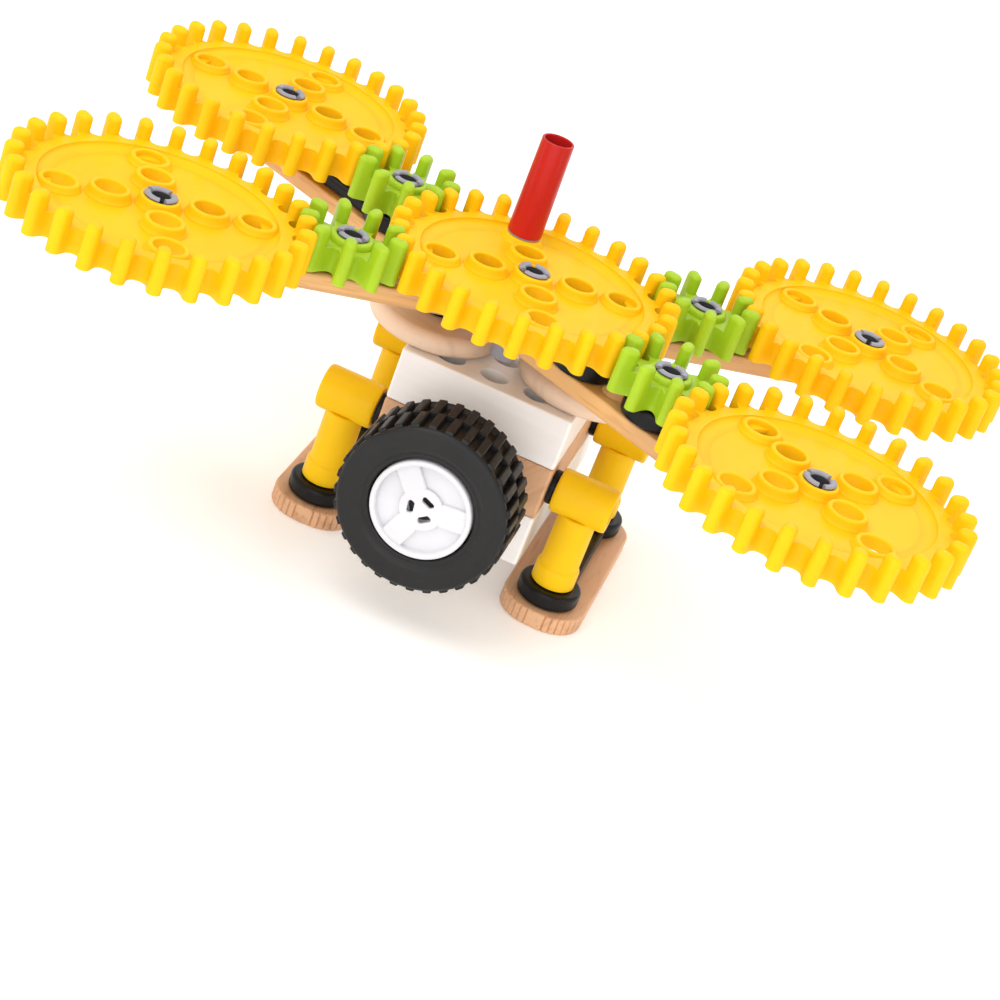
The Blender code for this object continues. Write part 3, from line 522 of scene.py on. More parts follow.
class ToyColours(bpy.types.PropertyGroup):
    gear: FloatVectorProperty(
        name="Gears", description="Colour of the large gears", subtype="COLOR", size=3,
        min=0.0, max=1.0, default=(0.91, 0.515, 0.004),
    )
    leg: FloatVectorProperty(
        name="Legs", description="Colour of the T-shaped legs", subtype="COLOR", size=3,
        min=0.0, max=1.0, default=(0.91, 0.55, 0.005),
    )
    pinion: FloatVectorProperty(
        name="Pinions", description="Colour of the small gears", subtype="COLOR", size=3,
        min=0.0, max=1.0, default=(0.37, 0.54, 0.018),
    )
    crank: FloatVectorProperty(
        name="Crank", description="Colour of the crank's sleeve", subtype="COLOR", size=3,
        min=0.0, max=1.0, default=(0.49, 0.012, 0.011),
    )
    pin: FloatVectorProperty(
        name="Pins", description="Colour of the pins", subtype="COLOR", size=3,
        min=0.0, max=1.0, default=(0.30, 0.29, 0.33),
    )
    link: FloatVectorProperty(
        name="Links", description="Colour of links, washers and spacers", subtype="COLOR",
        size=3, min=0.0, max=1.0, default=(0.007, 0.0065, 0.0065),
    )
    tyre: FloatVectorProperty(
        name="Tyre", description="Colour of the rubber", subtype="COLOR", size=3,
        min=0.0, max=1.0, default=(0.0095, 0.0092, 0.0095),
    )
    hub: FloatVectorProperty(
        name="Hub", description="Colour of the wheel's hub", subtype="COLOR", size=3,
        min=0.0, max=1.0, default=(0.67, 0.665, 0.69),
    )
    paint: FloatVectorProperty(
        name="Paint", description="Colour of the painted blocks", subtype="COLOR", size=3,
        min=0.0, max=1.0, default=(0.96, 0.935, 0.925),
    )
    wood: FloatVectorProperty(
        name="Wood", description="Light tone of skids and middle blocks", subtype="COLOR",
        size=3, min=0.0, max=1.0, default=(0.70, 0.41, 0.23),
    )
    strip: FloatVectorProperty(
        name="Strips", description="Light tone of the crossing strips", subtype="COLOR", size=3,
        min=0.0, max=1.0, default=(0.74, 0.42, 0.16),
    )
    wood_dark: FloatVectorProperty(
        name="Grain", description="Dark tone of the bare wood", subtype="COLOR", size=3,
        min=0.0, max=1.0, default=(0.52, 0.265, 0.125),
    )
    disc: FloatVectorProperty(
        name="Discs", description="Colour of the pale wooden discs", subtype="COLOR", size=3,
        min=0.0, max=1.0, default=(0.83, 0.62, 0.46),
    )


class ToySizes(bpy.types.PropertyGroup):
    tooth_edge: FloatProperty(
        name="Tooth edge", description="Rounding of the edges of the teeth", unit="LENGTH",
        min=0.0, max=1.0 * MM, default=0.55 * MM,
    )
    block_edge: FloatProperty(
        name="Block edge", description="Rounding of the edges of the blocks", unit="LENGTH",
        min=0.0, max=2.0 * MM, default=0.7 * MM,
    )
    lugs: IntProperty(
        name="Lugs", description="Lugs in each row of the tread", min=12, max=48, default=32
    )
    lug_width: FloatProperty(
        name="Lug width", description="Width of a lug round the tread", unit="LENGTH",
        min=1.0 * MM, max=5.0 * MM, default=3.1 * MM,
    )


class ToyStage(bpy.types.PropertyGroup):
    floor: FloatVectorProperty(
        name="Floor", description="Colour of the floor", subtype="COLOR", size=3,
        min=0.0, max=1.0, default=(0.90, 0.90, 0.90),
    )
    floor_glow: FloatProperty(
        name="Floor glow", description="Light that the bright paper floor adds to its shadows",
        min=0.0, max=1.0, default=0.20,
    )
    lens: FloatProperty(
        name="Lens", description="Focal length of the camera in millimetres",
        min=10.0, max=300.0, default=92.23,
    )
    key: FloatProperty(
        name="Key light", description="Power of the large soft light in watts",
        min=0.0, max=500.0, default=8.0,
    )
    fill: FloatProperty(
        name="Fill light", description="Power of the lights at the sides in watts",
        min=0.0, max=500.0, default=2.0,
    )
    front: FloatProperty(
        name="Front light", description="Power of the low light in front in watts",
        min=0.0, max=500.0, default=4.5,
    )
    sky: FloatProperty(
        name="Surroundings", description="Strength of the light from all round",
        min=0.0, max=5.0, default=0.93,
    )


# Pieces


def gear_shapes(edge_turn):
    """Large gear round the origin, its boss tops at height 0."""
    bottom = -9.3 * MM
    sheet = toothed_sheet(
        GEAR_TEETH, 36.8 * MM, 40.45 * MM, 47.25 * MM, 4.4 * MM, 42.6 * MM, 41.25 * MM
    )
    ring = toothed_body(sheet, bottom, -1.2 * MM, 4.6 * MM, 1.8 * MM)
    centres = [(0.0, 0.0)]
    for arm in range(4):
        for reach in (1, 2):
            centres.append((reach * PITCH * cos(arm * pi / 2), reach * PITCH * sin(arm * pi / 2)))
    web_top = -3.2 * MM
    holes = [(x, y, HOLE_RADIUS + 0.9 * MM) for x, y in centres]
    web = plate((37.4 * MM, 37.4 * MM), 37.4 * MM, holes, web_top - 2.2 * MM, web_top,
                0.1 * MM, 0.05 * MM, count=96)
    cove = [(37.3 * MM, -1.5 * MM), (36.7 * MM, -1.6 * MM)]
    for step in range(1, 8):
        turn = pi / 2 * step / 7
        cove.append(
            (36.7 * MM - 4.6 * MM * (1 - cos(turn)), -1.6 * MM - 1.58 * MM * sin(turn))
        )
    cove += [(32.0 * MM, -4.2 * MM), (37.3 * MM, -4.2 * MM)]
    shapes = [
        (ring, at(turn=edge_turn + FIRST_TOOTH)),
        (web, at(turn=edge_turn)),
        (lathe(cove, 108), at()),
    ]
    for index, (x, y) in enumerate(centres):
        far = index and index % 2 == 0
        top = -1.1 * MM if far else 0.0
        foot = -10.5 * MM if index == 0 else web_top - 2.5 * MM
        flare = 7.4 * MM
        profile = soften(
            [
                (HOLE_RADIUS, top),
                (6.1 * MM, top),
                (6.6 * MM, web_top + 0.9 * MM),
                (flare, web_top - 0.05 * MM),
                (flare - 0.5 * MM, web_top - 1.2 * MM),
                (6.6 * MM, foot),
                (HOLE_RADIUS, foot),
            ],
            0.7 * MM,
            4,
        )
        place = at(turn=edge_turn) @ at(x, y)
        shapes.append((lathe(profile, 36), place))
    return shapes


def pinion_shapes(turn):
    """Small gear round the origin, its hub top at height 0."""
    bottom = -10.05 * MM
    sheet = toothed_sheet(
        PINION_TEETH, 5.4 * MM, 9.6 * MM, 17.25 * MM, 4.0 * MM, 12.6 * MM, 11.2 * MM
    )
    body = toothed_body(sheet, bottom, -1.9 * MM, 4.6 * MM, 1.6 * MM)
    hub = soften(
        [
            (HOLE_RADIUS, 0.0),
            (6.9 * MM, 0.0),
            (7.2 * MM, -2.2 * MM),
            (7.0 * MM, -10.5 * MM),
            (HOLE_RADIUS, -10.5 * MM),
        ],
        0.9 * MM,
    )
    return [(body, at(turn=turn)), (lathe(hub, 36), at())]


def pin_shapes(length, head=True):
    """Hollow pin hanging from height 0, with three slots in its springy end."""
    shaft = soften(
        [
            (2.7 * MM, -1.6 * MM),
            (4.3 * MM, -1.6 * MM),
            (4.3 * MM, -length),
            (2.7 * MM, -length),
        ],
        0.3 * MM,
    )
    shapes = [(lathe(shaft, 32), at())]
    if head:
        section = [
            (3.0 * MM, 0.25 * MM),
            (3.4 * MM, 0.75 * MM),
            (4.75 * MM, 0.75 * MM),
            (5.15 * MM, 0.35 * MM),
            (5.15 * MM, 0.02 * MM),
            (4.3 * MM, -0.3 * MM),
            (4.3 * MM, -2.0 * MM),
            (3.0 * MM, -2.0 * MM),
        ]
    else:
        section = [
            (2.75 * MM, -0.1 * MM),
            (4.3 * MM, -0.1 * MM),
            (4.3 * MM, -2.0 * MM),
            (2.75 * MM, -2.0 * MM),
        ]
    prong = soften(section, 0.3 * MM)
    slot = radians(24)
    for index in range(3):
        start = pi / 2 + index * 2 * pi / 3 + slot / 2
        shapes.append((lathe(prong, 14, 2 * pi / 3 - slot, start), at()))
    return shapes


def placed(shapes, matrix):
    return [(mesh, matrix @ own) for mesh, own in shapes]


class TOY_OT_gears(bpy.types.Operator):
    """Builds the five large gears"""

    bl_idname = "toy.gears"
    bl_label = "Large gears"

    def execute(self, context):
        colours = context.scene.toy_colours
        look = plastic_look("gear_plastic", colours.gear, 0.42, 0.15, 0.13)
        spots = {"gear_centre": ("centre_gear", CENTRE_CROSS)}
        for arm in ARMS:
            spots[f"gear_{arm}"] = (f"gear_{arm}", TURNS[arm][1])
        edge = context.scene.toy_sizes.tooth_edge
        for node, (body, turn) in spots.items():
            shapes = placed(gear_shapes(turn), Matrix.Translation(PLACES[body]))
            piece(f"{node}_shape", shapes, look, body, [node], edge, 3)
        return {"FINISHED"}


class TOY_OT_pinions(bpy.types.Operator):
    """Builds the four small gears"""

    bl_idname = "toy.pinions"
    bl_label = "Pinions"

    def execute(self, context):
        look = plastic_look(
            "pinion_plastic", context.scene.toy_colours.pinion, 0.36, 0.35, 0.22
        )
        edge = context.scene.toy_sizes.tooth_edge
        for arm in ARMS:
            body = f"pinion_{arm}"
            shapes = placed(pinion_shapes(TURNS[arm][0]), Matrix.Translation(PLACES[body]))
            piece(f"{body}_shape", shapes, look, body, [body], edge, 3)
        return {"FINISHED"}


class TOY_OT_pins(bpy.types.Operator):
    """Builds the pins of the gears, the stand and the discs, and the painted shade inside the pin
    bores
    """

    bl_idname = "toy.pins"
    bl_label = "Pins"

    def execute(self, context):
        colours = context.scene.toy_colours
        look = plastic_look("pin_plastic", colours.pin, 0.36)
        # Painted shade: a near-black copy of the pin colour, used on the liners in the pin bores and
        # on the axle, standing in for the shade there.
        shade = plastic_look("pin_bore_painted_shade", tint(colours.pin, 0.12), 0.6)
        bore = soften(
            [
                (2.8 * MM, -0.05 * MM),
                (3.03 * MM, -0.05 * MM),
                (2.9 * MM, -1.4 * MM),
                (2.66 * MM, -1.6 * MM),
                (2.66 * MM, -5.0 * MM),
                (2.0 * MM, -5.0 * MM),
            ],
            0.1 * MM,
        )
        for node in sorted(frame["nodes"]):
            headed = node.startswith(("gear_pin", "pinion_pin"))
            if not headed and not node.startswith(("stack_pin", "disc_pin", "beam_ring_pin")):
                continue
            low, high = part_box(node)
            top = high.z - (0.9 * MM if headed else 0.5 * MM)
            turn = CENTRE_CROSS
            for arm in ARMS:
                if node == f"gear_pin_{arm}":
                    turn = TURNS[arm][1]
                elif node == f"pinion_pin_{arm}":
                    turn = TURNS[arm][0]
            centre = (low + high) / 2
            place = at(centre.x, centre.y, top, turn)
            shapes = placed(pin_shapes(top - low.z, headed), place)
            piece(f"{node}_shape", shapes, look, "frame", [node])
            # The dark liner at the top of each headed pin's bore is painted shade, standing in for
            # the shadow inside the hollow pin.
            if headed:
                shade_liner = [(lathe(bore, 28), place)]
                piece(f"{node}_bore", shade_liner, shade, "frame", [])
        for node in sorted(frame["nodes"]):
            if not node.startswith("leg_pin"):
                continue
            low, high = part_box(node)
            side = 1 if low.x > 0 else -1
            outer = (high.x if side > 0 else low.x) - side * 0.5 * MM
            reach = abs(outer) - min(abs(low.x), abs(high.x))
            way = Matrix.Rotation(side * pi / 2, 4, "Y")
            place = Matrix.Translation((outer, (low.y + high.y) / 2, (low.z + high.z) / 2)) @ way
            piece(
                f"{node}_shape",
                placed(pin_shapes(reach, False), place),
                look,
                "frame",
                [node],
            )
        return {"FINISHED"}


class TOY_OT_crank(bpy.types.Operator):
    """Builds the crank's red sleeve and the peg that it turns on"""

    bl_idname = "toy.crank"
    bl_label = "Crank"

    def execute(self, context):
        colours = context.scene.toy_colours
        low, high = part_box("crank_sleeve")
        centre = (low + high) / 2
        tube = soften(
            [
                (4.6 * MM, -1.9 * MM),
                (5.7 * MM, -1.9 * MM),
                (5.3 * MM, high.z - low.z),
                (4.5 * MM, high.z - low.z),
            ],
            0.35 * MM,
        )
        red = plastic_look("crank_plastic", colours.crank, 0.30)
        piece(
            "crank_sleeve_shape",
            [(lathe(tube, 64), at(centre.x, centre.y, low.z))],
            red,
            "crank_sleeve",
            ["crank_sleeve"],
        )
        low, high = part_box("crank_peg")
        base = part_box("crank_sleeve")[0].z - 2.5 * MM
        peg = soften(
            [
                (0.0, low.z),
                (4.3 * MM, low.z),
                (4.3 * MM, base),
                (5.5 * MM, base),
                (5.5 * MM, base + 0.45 * MM),
                (3.9 * MM, base + 0.45 * MM),
                (3.9 * MM, high.z),
                (0.0, high.z),
            ],
            0.15 * MM,
            closed=False,
        )
        grey = bpy.data.materials["pin_plastic"]
        piece(
            "crank_peg_shape",
            [(lathe(peg, 40), at(centre.x, centre.y))],
            grey,
            "centre_gear",
            ["crank_peg"],
        )
        return {"FINISHED"}


class TOY_OT_beams(bpy.types.Operator):
    """Builds the two crossing wooden strips"""

    bl_idname = "toy.beams"
    bl_label = "Crossing strips"

    def execute(self, context):
        colours = context.scene.toy_colours
        for name, angle, shift in (
            ("upper", ARM_ANGLES["right_rear"], (0.3, 0.1, 0.2)),
            ("lower", ARM_ANGLES["right_front"], (0.8, 0.5, 0.7)),
        ):
            node = f"beam_{name}"
            low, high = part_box(node)
            look = wood_look(f"{node}_wood", colours.strip, colours.wood_dark, angle, shift)
            holes = [(index * PITCH, 0.0, HOLE_RADIUS) for index in range(-8, 9)]
            strip = plate((129 * MM, 9 * MM), 9 * MM, holes, low.z, high.z, 0.8 * MM)
            piece(
                f"{node}_shape", [(strip, at(turn=angle))], look, "frame", [node]
            )
        return {"FINISHED"}


def link_shapes(span):
    """Black link along X with its first boss on the origin, standing on height 0."""
    boss = soften(
        [
            (HOLE_RADIUS, 5.3 * MM),
            (HOLE_RADIUS, 5.7 * MM),
            (HOLE_RADIUS + 0.4 * MM, 5.7 * MM),
            (10.4 * MM, 5.7 * MM),
            (10.4 * MM, 0.0),
            (HOLE_RADIUS, 0.0),
        ],
        1.5 * MM,
        5,
    )
    strap = plate(
        (span / 2 - 8.5 * MM, 6.7 * MM), 1.0 * MM, [], 0.4 * MM, 3.4 * MM, 0.4 * MM,
        centre=(span / 2, 0.0), count=16,
    )
    shapes = [(lathe(boss, 56), at()), (lathe(boss, 56), at(span)), (strap, at())]
    for side in (-1, 1):
        rib = plate(
            (span / 2 - 9.5 * MM, 0.7 * MM), 0.6 * MM, [], 0.5 * MM, 4.6 * MM, 0.3 * MM,
            centre=(span / 2, side * 5.9 * MM), count=16,
        )
        shapes.append((rib, at()))
    return shapes


class TOY_OT_links(bpy.types.Operator):
    """Builds the black links, spacers and washers"""

    bl_idname = "toy.links"
    bl_label = "Links and spacers"

    def execute(self, context):
        look = plastic_look("link_plastic", context.scene.toy_colours.link, 0.33, 0.0, 0.2)
        span = 4 * PITCH
        for arm in ("left_rear", "right_front"):
            node = f"beam_link_{arm}"
            angle = ARM_ANGLES[arm]
            place = at(span * cos(angle), span * sin(angle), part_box(node)[0].z, angle)
            piece(
                f"{node}_shape", placed(link_shapes(span), place), look, "frame",
                [node],
            )
        for side in ("left", "right"):
            node = f"foot_link_{side}"
            low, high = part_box(node)
            place = at((low.x + high.x) / 2, 0.0, low.z, pi / 2)
            piece(
                f"{node}_shape", placed(link_shapes(span), place), look, "frame",
                [node],
            )
        for node in ("spacer_left", "spacer_right", "beam_ring"):
            low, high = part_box(node)
            radius = (high.x - low.x) / 2
            height = high.z - low.z
            section = soften(
                [(HOLE_RADIUS, height), (radius, height), (radius, 0.0), (HOLE_RADIUS, 0.0)],
                0.6 * MM,
            )
            place = at((low.x + high.x) / 2, (low.y + high.y) / 2, low.z)
            piece(
                f"{node}_shape", [(lathe(section), place)], look, "frame", [node]
            )
        for node in sorted(frame["nodes"]):
            if not node.startswith("leg_washer"):
                continue
            low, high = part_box(node)
            radius = (high.z - low.z) / 2 - 1.0 * MM
            half = (high.x - low.x) / 2
            section = soften(
                [(HOLE_RADIUS, half), (radius, half), (radius, -half), (HOLE_RADIUS, -half)],
                0.4 * MM,
            )
            place = Matrix.Translation((low + high) / 2) @ ALONG_X
            piece(
                f"{node}_shape", [(lathe(section), place)], look, "frame", [node]
            )
        return {"FINISHED"}


class TOY_OT_discs(bpy.types.Operator):
    """Builds the two pale wooden discs"""

    bl_idname = "toy.discs"
    bl_label = "Discs"

    def execute(self, context):
        colours = context.scene.toy_colours
        for side, sign in (("left", -1), ("right", 1)):
            node = f"disc_{side}"
            low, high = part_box(node)
            centre = (low + high) / 2
            look = wood_look(
                f"{node}_wood", colours.disc, tint(colours.disc, 0.86), 0.4 * sign,
                (0.2 * sign, 0.4, 0.1), 0.4,
            )
            pin = (sign * PITCH - centre.x, PITCH - centre.y)
            holes = [(0.0, 0.0, HOLE_RADIUS), (*pin, HOLE_RADIUS)]
            radius = (high.x - low.x) / 2
            bullnose = (high.z - low.z) * 0.47
            disc = plate((radius, radius), radius, holes, low.z, high.z, bullnose, count=96)
            piece(
                f"{node}_shape", [(disc, at(centre.x, centre.y))], look, "frame",
                [node],
            )
        return {"FINISHED"}


class TOY_OT_blocks(bpy.types.Operator):
    """Builds the white blocks and the bare wooden layer between them"""

    bl_idname = "toy.blocks"
    bl_label = "Blocks"

    def execute(self, context):
        colours = context.scene.toy_colours
        edge = context.scene.toy_sizes.block_edge
        white = painted_wood_look("block_paint", colours.paint)
        grid = [(x * PITCH, y * PITCH, HOLE_RADIUS) for x in (-1, 0, 1) for y in range(6)]
        for node in ("block_lower", "block_upper"):
            low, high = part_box(node)
            half = ((high.x - low.x) / 2, (high.y - low.y) / 2)
            middle = (low.y + high.y) / 2
            block = plate(
                half, 1.2 * MM, grid, low.z, high.z, edge, centre=(0.0, middle), count=24
            )
            piece(
                f"{node}_shape", [(block, at())], white, "frame", [node]
            )
        for place, row, shift in (("front", 1, (0.1, 0.3, 0.9)), ("rear", 3, (0.5, 0.9, 0.2))):
            node = f"block_middle_{place}"
            low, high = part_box(node)
            half = ((high.x - low.x) / 2, (high.y - low.y) / 2)
            middle = (low.y + high.y) / 2
            holes = [(x * PITCH, row * PITCH, HOLE_RADIUS) for x in (-1, 1)]
            look = wood_look(
                f"{node}_wood", colours.wood, colours.wood_dark, 0.0, shift, tilt=radians(52)
            )
            block = plate(
                half, 1.2 * MM, holes, low.z, high.z, edge, centre=(0.0, middle), count=24
            )
            piece(f"{node}_shape", [(block, at())], look, "frame", [node])
        return {"FINISHED"}


class TOY_OT_legs(bpy.types.Operator):
    """Builds the four T-shaped legs"""

    bl_idname = "toy.legs"
    bl_label = "Legs"

    def execute(self, context):
        look = plastic_look("leg_plastic", context.scene.toy_colours.leg, 0.40, 0.10, 0.16)
        for side, sign in (("left", -1), ("right", 1)):
            for place in ("front", "rear"):
                node = f"leg_{side}_{place}"
                low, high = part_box(node)
                centre = (low + high) / 2
                axis_height = high.z - 7.5 * MM
                half = (high.x - low.x) / 2
                head = soften(
                    [
                        (HOLE_RADIUS, half),
                        (7.1 * MM, half),
                        (7.5 * MM, half - 1.2 * MM),
                        (7.5 * MM, -half + 1.2 * MM),
                        (7.1 * MM, -half),
                        (HOLE_RADIUS, -half),
                    ],
                    0.5 * MM,
                )
                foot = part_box(f"foot_link_{side}")[1].z + 0.3 * MM
                tube = soften(
                    [
                        (0.0, axis_height - 5.6 * MM),
                        (6.4 * MM, axis_height - 5.6 * MM),
                        (6.5 * MM, foot + 7.2 * MM),
                        (7.2 * MM, foot + 6.4 * MM),
                        (7.3 * MM, foot),
                        (4.3 * MM, foot),
                        (4.3 * MM, low.z),
                        (0.0, low.z),
                    ],
                    0.6 * MM,
                    closed=False,
                )
                shapes = [
                    (lathe(head), Matrix.Translation((centre.x, centre.y, axis_height)) @ ALONG_X),
                    (lathe(tube), at(centre.x, centre.y)),
                ]
                piece(f"{node}_shape", shapes, look, "frame", [node])
        return {"FINISHED"}


class TOY_OT_skids(bpy.types.Operator):
    """Builds the two wooden skids under the legs"""

    bl_idname = "toy.skids"
    bl_label = "Skids"

    def execute(self, context):
        colours = context.scene.toy_colours
        for side, sign in (("left", -1), ("right", 1)):
            node = f"skid_{side}"
            low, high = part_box(node)
            centre = (low + high) / 2
            half = ((high.x - low.x) / 2, (high.y - low.y) / 2)
            holes = [(centre.x, row * PITCH, HOLE_RADIUS) for row in range(5)]
            look = wood_look(
                f"{node}_wood", colours.wood, colours.wood_dark, pi / 2, (0.3, 0.2 * sign, 0.5)
            )
            skid = plate(
                half, 12 * MM, holes, low.z, high.z, 0.8 * MM, centre=(centre.x, centre.y),
                count=192, ribs=0.6 * MM,
            )
            piece(f"{node}_shape", [(skid, at())], look, "frame", [node])
        return {"FINISHED"}


def lug_shape(width, low, high, front, back):
    """One block of the tread at angle 0, its long side along the axle."""
    bm = bmesh.new()
    bmesh.ops.create_cube(bm, size=1.0)
    bmesh.ops.scale(bm, vec=(high - low, width, front - back), verts=bm.verts)
    bmesh.ops.translate(bm, vec=((high + low) / 2, 0, (front + back) / 2), verts=bm.verts)
    for vert in bm.verts:
        if vert.co.x > (high + low) / 2:
            vert.co.y *= 0.86
        elif vert.co.z > (front + back) / 2:
            vert.co.z += 0.5 * MM
    bmesh.ops.bevel(
        bm, geom=bm.edges[:], offset=0.45 * MM, segments=2, profile=0.5, affect="EDGES",
        material=-1,
    )
    return settled(bm)


class TOY_OT_wheel(bpy.types.Operator):
    """Builds the tyre, the hub, the axle and the spacer behind them"""

    bl_idname = "toy.wheel"
    bl_label = "Wheel"

    def execute(self, context):
        scene = context.scene
        colours = scene.toy_colours
        low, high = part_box("tyre")
        centre = Vector((0.0, low.y, (low.z + high.z) / 2))
        place = Matrix.Translation(centre) @ FACING_FRONT
        width = high.y - low.y
        front = [
            (16.75 * MM, -3.4 * MM),
            (16.9 * MM, -1.3 * MM),
            (17.6 * MM, -0.9 * MM),
            (18.4 * MM, -1.2 * MM),
            (18.9 * MM, -0.8 * MM),
            (20.4 * MM, -0.1 * MM),
            (23.5 * MM, 0.0),
            (26.2 * MM, -0.2 * MM),
            (27.1 * MM, -0.9 * MM),
            (27.2 * MM, -2.0 * MM),
            (26.0 * MM, -3.4 * MM),
        ]
        back = [(radius, -width - height) for radius, height in reversed(front)]
        carcass = lathe(soften(front + back, 0.35 * MM), 96)
        shapes = [(carcass, place)]
        lug_top = 28.15 * MM
        pitch = 2 * pi / scene.toy_sizes.lugs
        lug_width = scene.toy_sizes.lug_width
        near = lug_shape(lug_width, 25.4 * MM, lug_top, -1.4 * MM, -width / 2 - 0.2 * MM)
        for index in range(scene.toy_sizes.lugs):
            spin = Matrix.Rotation(index * pitch, 4, "Z")
            shapes.append((near, place @ spin))
            flip = Matrix.Translation((0, 0, -width)) @ Matrix.Rotation(pi, 4, "X")
            spin = Matrix.Rotation((index + 0.5) * pitch, 4, "Z")
            shapes.append((near, place @ spin @ flip))
        piece(
            "tyre_shape", shapes, rubber_look("tyre_rubber", colours.tyre), "wheel",
            ["tyre"],
        )
        self.hub(colours, place, width)
        self.axle(colours)
        return {"FINISHED"}

    def hub(self, colours, place, width):
        rim = soften(
            [
                (14.5 * MM, -0.2 * MM),
                (16.3 * MM, -0.2 * MM),
                (16.4 * MM, -width + 2.5 * MM),
                (14.4 * MM, -width + 2.5 * MM),
                (14.3 * MM, -3.0 * MM),
            ],
            0.8 * MM,
            4,
        )
        barrel = soften(
            [
                (HOLE_RADIUS, -3.9 * MM),
                (8.0 * MM, -3.9 * MM),
                (8.0 * MM, -width),
                (HOLE_RADIUS, -width),
            ],
            0.4 * MM,
        )
        face_top = -1.15 * MM
        panel_top = -2.6 * MM
        back = -4.6 * MM
        vents = []
        for index in range(3):
            angle = HUB_TURN + pi / 3 + index * 2 * pi / 3
            x, y = 3.6 * MM * cos(angle), 3.6 * MM * sin(angle)
            vents.append((x, y, 0.8 * MM, (1.35 * MM, 0.0), angle - pi / 2, 1.5 * MM))
        radius = 14.9 * MM
        panel = plate(
            (radius, radius), radius, [(0.0, 0.0, 6.0 * MM)], back, panel_top, 0.1 * MM, count=72
        )
        radius = 7.2 * MM
        cap = plate(
            (radius, radius), radius, vents, -2.5 * MM, face_top, 0.6 * MM, 0.2 * MM, count=60
        )
        shapes = [(lathe(shape, 72), place) for shape in (rim, barrel)]
        shapes += [(panel, place), (cap, place)]
        for index in range(3):
            spoke = plate(
                (4.6 * MM, 3.9 * MM), 1.0 * MM, [], panel_top - 0.8 * MM,
                face_top - 0.03 * MM, 0.7 * MM, centre=(10.4 * MM, 0.0), count=24,
            )
            spin = Matrix.Rotation(HUB_TURN + index * 2 * pi / 3, 4, "Z")
            shapes.append((spoke, place @ spin))
        white = plastic_look("hub_plastic", colours.hub, 0.34)
        piece("hub_shape", shapes, white, "wheel", ["wheel_hub"])

    def axle(self, colours):
        low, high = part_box("wheel_axle")
        rod = soften(
            [
                (0.0, -low.y),
                (4.3 * MM, -low.y),
                (4.3 * MM, -high.y),
                (0.0, -high.y),
            ],
            0.3 * MM,
            closed=False,
        )
        height = (low.z + high.z) / 2
        lay = Matrix.Translation((0, 0, height)) @ FACING_FRONT
        # The axle takes the painted-shade bore material: it is darkened to stand in for the shade
        # behind the hub, not because the part is darker.
        piece(
            "axle_shape", [(lathe(rod, 40), lay)], bpy.data.materials["pin_bore_painted_shade"], "frame",
            ["wheel_axle"],
        )
        low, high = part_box("wheel_spacer")
        tube = soften(
            [
                (HOLE_RADIUS, -low.y),
                (8.0 * MM, -low.y),
                (8.0 * MM, -high.y),
                (HOLE_RADIUS, -high.y),
            ],
            0.5 * MM,
        )
        piece(
            "wheel_spacer_shape", [(lathe(tube, 40), lay)], bpy.data.materials["link_plastic"],
            "frame", ["wheel_spacer"],
        )


def soft_light(name, size, power, place, target):
    data = bpy.data.lights.new(name, "AREA")
    data.shape = "RECTANGLE"
    data.size = size[0]
    data.size_y = size[1]
    data.energy = power
    obj = bpy.data.objects.new(name, data)
    obj.location = place
    direction = Vector(target) - Vector(place)
    obj.rotation_euler = direction.to_track_quat("-Z", "Y").to_euler()
    bpy.context.scene.collection.objects.link(obj)


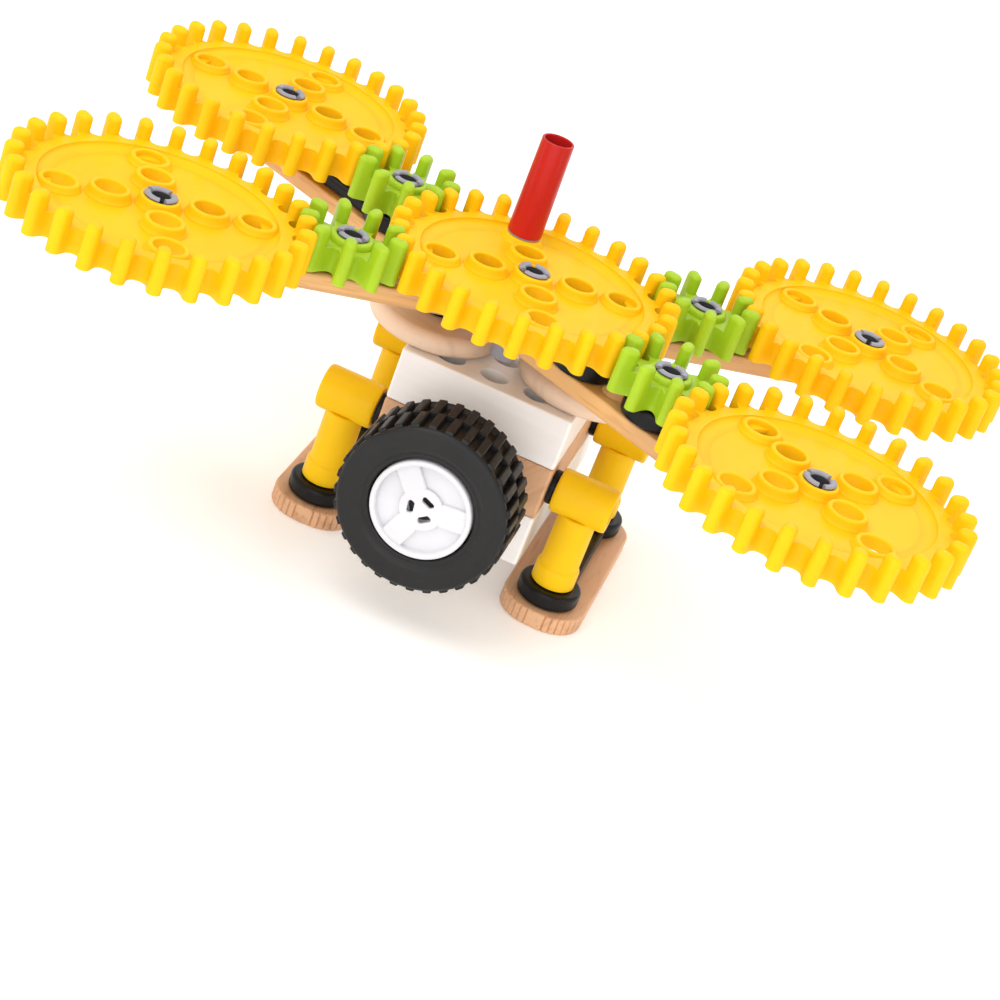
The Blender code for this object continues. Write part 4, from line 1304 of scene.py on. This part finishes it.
class TOY_OT_stage(bpy.types.Operator):
    """Builds the floor, the studio lights and the camera"""

    bl_idname = "toy.stage"
    bl_label = "Stage"

    def execute(self, context):
        settings = context.scene.toy_stage
        bm = bmesh.new()
        bmesh.ops.create_grid(bm, x_segments=1, y_segments=1, size=6.0)
        mesh = bpy.data.meshes.new("floor")
        bm.to_mesh(mesh)
        bm.free()
        look = Look("floor_paper")
        tone = look.ramp(
            look.noise(3.0, 2.0), [(0.3, tint(settings.floor, 0.99)), (0.7, settings.floor[:])]
        )
        look.join(tone, look.shader.inputs["Base Color"])
        look.set(Roughness=0.9, Specular_IOR_Level=0.1)
        look.set(Emission_Color=(1.0, 1.0, 1.0, 1.0), Emission_Strength=settings.floor_glow)
        mesh.materials.append(look.material)
        floor = bpy.data.objects.new("floor", mesh)
        context.scene.collection.objects.link(floor)
        world = bpy.data.worlds.new("studio")
        world.use_nodes = True
        background = world.node_tree.nodes["Background"]
        background.inputs["Color"].default_value = (1.0, 1.0, 1.0, 1.0)
        background.inputs["Strength"].default_value = settings.sky
        context.scene.world = world
        context.scene.view_settings.view_transform = "Standard"
        middle = (0.0, 0.0, 0.08)
        soft_light("key", (0.9, 0.9), settings.key, (-0.50, -0.55, 1.25), middle)
        soft_light("front", (1.2, 0.7), settings.front, (0.1, -1.3, 0.4), middle)
        soft_light("side", (0.6, 0.9), settings.fill, (1.1, -0.5, 0.6), middle)
        soft_light("rear", (0.9, 0.6), settings.fill, (0.2, 1.1, 0.9), middle)
        self.camera(context.scene, settings)
        return {"FINISHED"}

    def camera(self, scene, settings):
        data = bpy.data.cameras.new("camera")
        data.lens = settings.lens
        data.sensor_width = 36.0
        data.shift_x = 0.0378
        data.shift_y = -0.0043
        data.clip_start = 0.01
        right = Vector((0.90637, 0.27948, 0.31685))
        down = Vector((0.40795, -0.38383, -0.8284))
        forward = Vector((-0.10991, 0.88009, -0.46191))
        facing = Matrix((right, -down, -forward)).transposed().to_4x4()
        camera = bpy.data.objects.new("camera", data)
        camera.matrix_world = Matrix.Translation((0.09518, -0.7308, 0.41065)) @ facing
        scene.collection.objects.link(camera)
        scene.camera = camera


class TOY_PT_panel(bpy.types.Panel):
    """Lists the toy's settings and the steps that build it"""

    bl_idname = "TOY_PT_panel"
    bl_label = "Construction toy"
    bl_space_type = "VIEW_3D"
    bl_region_type = "UI"
    bl_category = "Toy"

    def draw(self, context):
        layout = self.layout
        for group in (context.scene.toy_colours, context.scene.toy_sizes, context.scene.toy_stage):
            box = layout.box()
            for name in group.bl_rna.properties.keys():
                if name not in ("rna_type", "name"):
                    box.prop(group, name)
        for step in STEPS:
            layout.operator(step.bl_idname)


STEPS = (
    TOY_OT_gears,
    TOY_OT_pinions,
    TOY_OT_pins,
    TOY_OT_crank,
    TOY_OT_beams,
    TOY_OT_links,
    TOY_OT_discs,
    TOY_OT_blocks,
    TOY_OT_legs,
    TOY_OT_skids,
    TOY_OT_wheel,
    TOY_OT_stage,
)
GROUPS = (ToyColours, ToySizes, ToyStage)


def register():
    for item in GROUPS + STEPS + (TOY_PT_panel,):
        bpy.utils.register_class(item)
    bpy.types.Scene.toy_colours = PointerProperty(type=ToyColours)
    bpy.types.Scene.toy_sizes = PointerProperty(type=ToySizes)
    bpy.types.Scene.toy_stage = PointerProperty(type=ToyStage)


def unregister():
    del bpy.types.Scene.toy_stage
    del bpy.types.Scene.toy_sizes
    del bpy.types.Scene.toy_colours
    for item in reversed(GROUPS + STEPS + (TOY_PT_panel,)):
        bpy.utils.unregister_class(item)


def main():
    register()
    for step in STEPS:
        group, name = step.bl_idname.split(".")
        getattr(getattr(bpy.ops, group), name)()


if __name__ == "__main__":
    main()
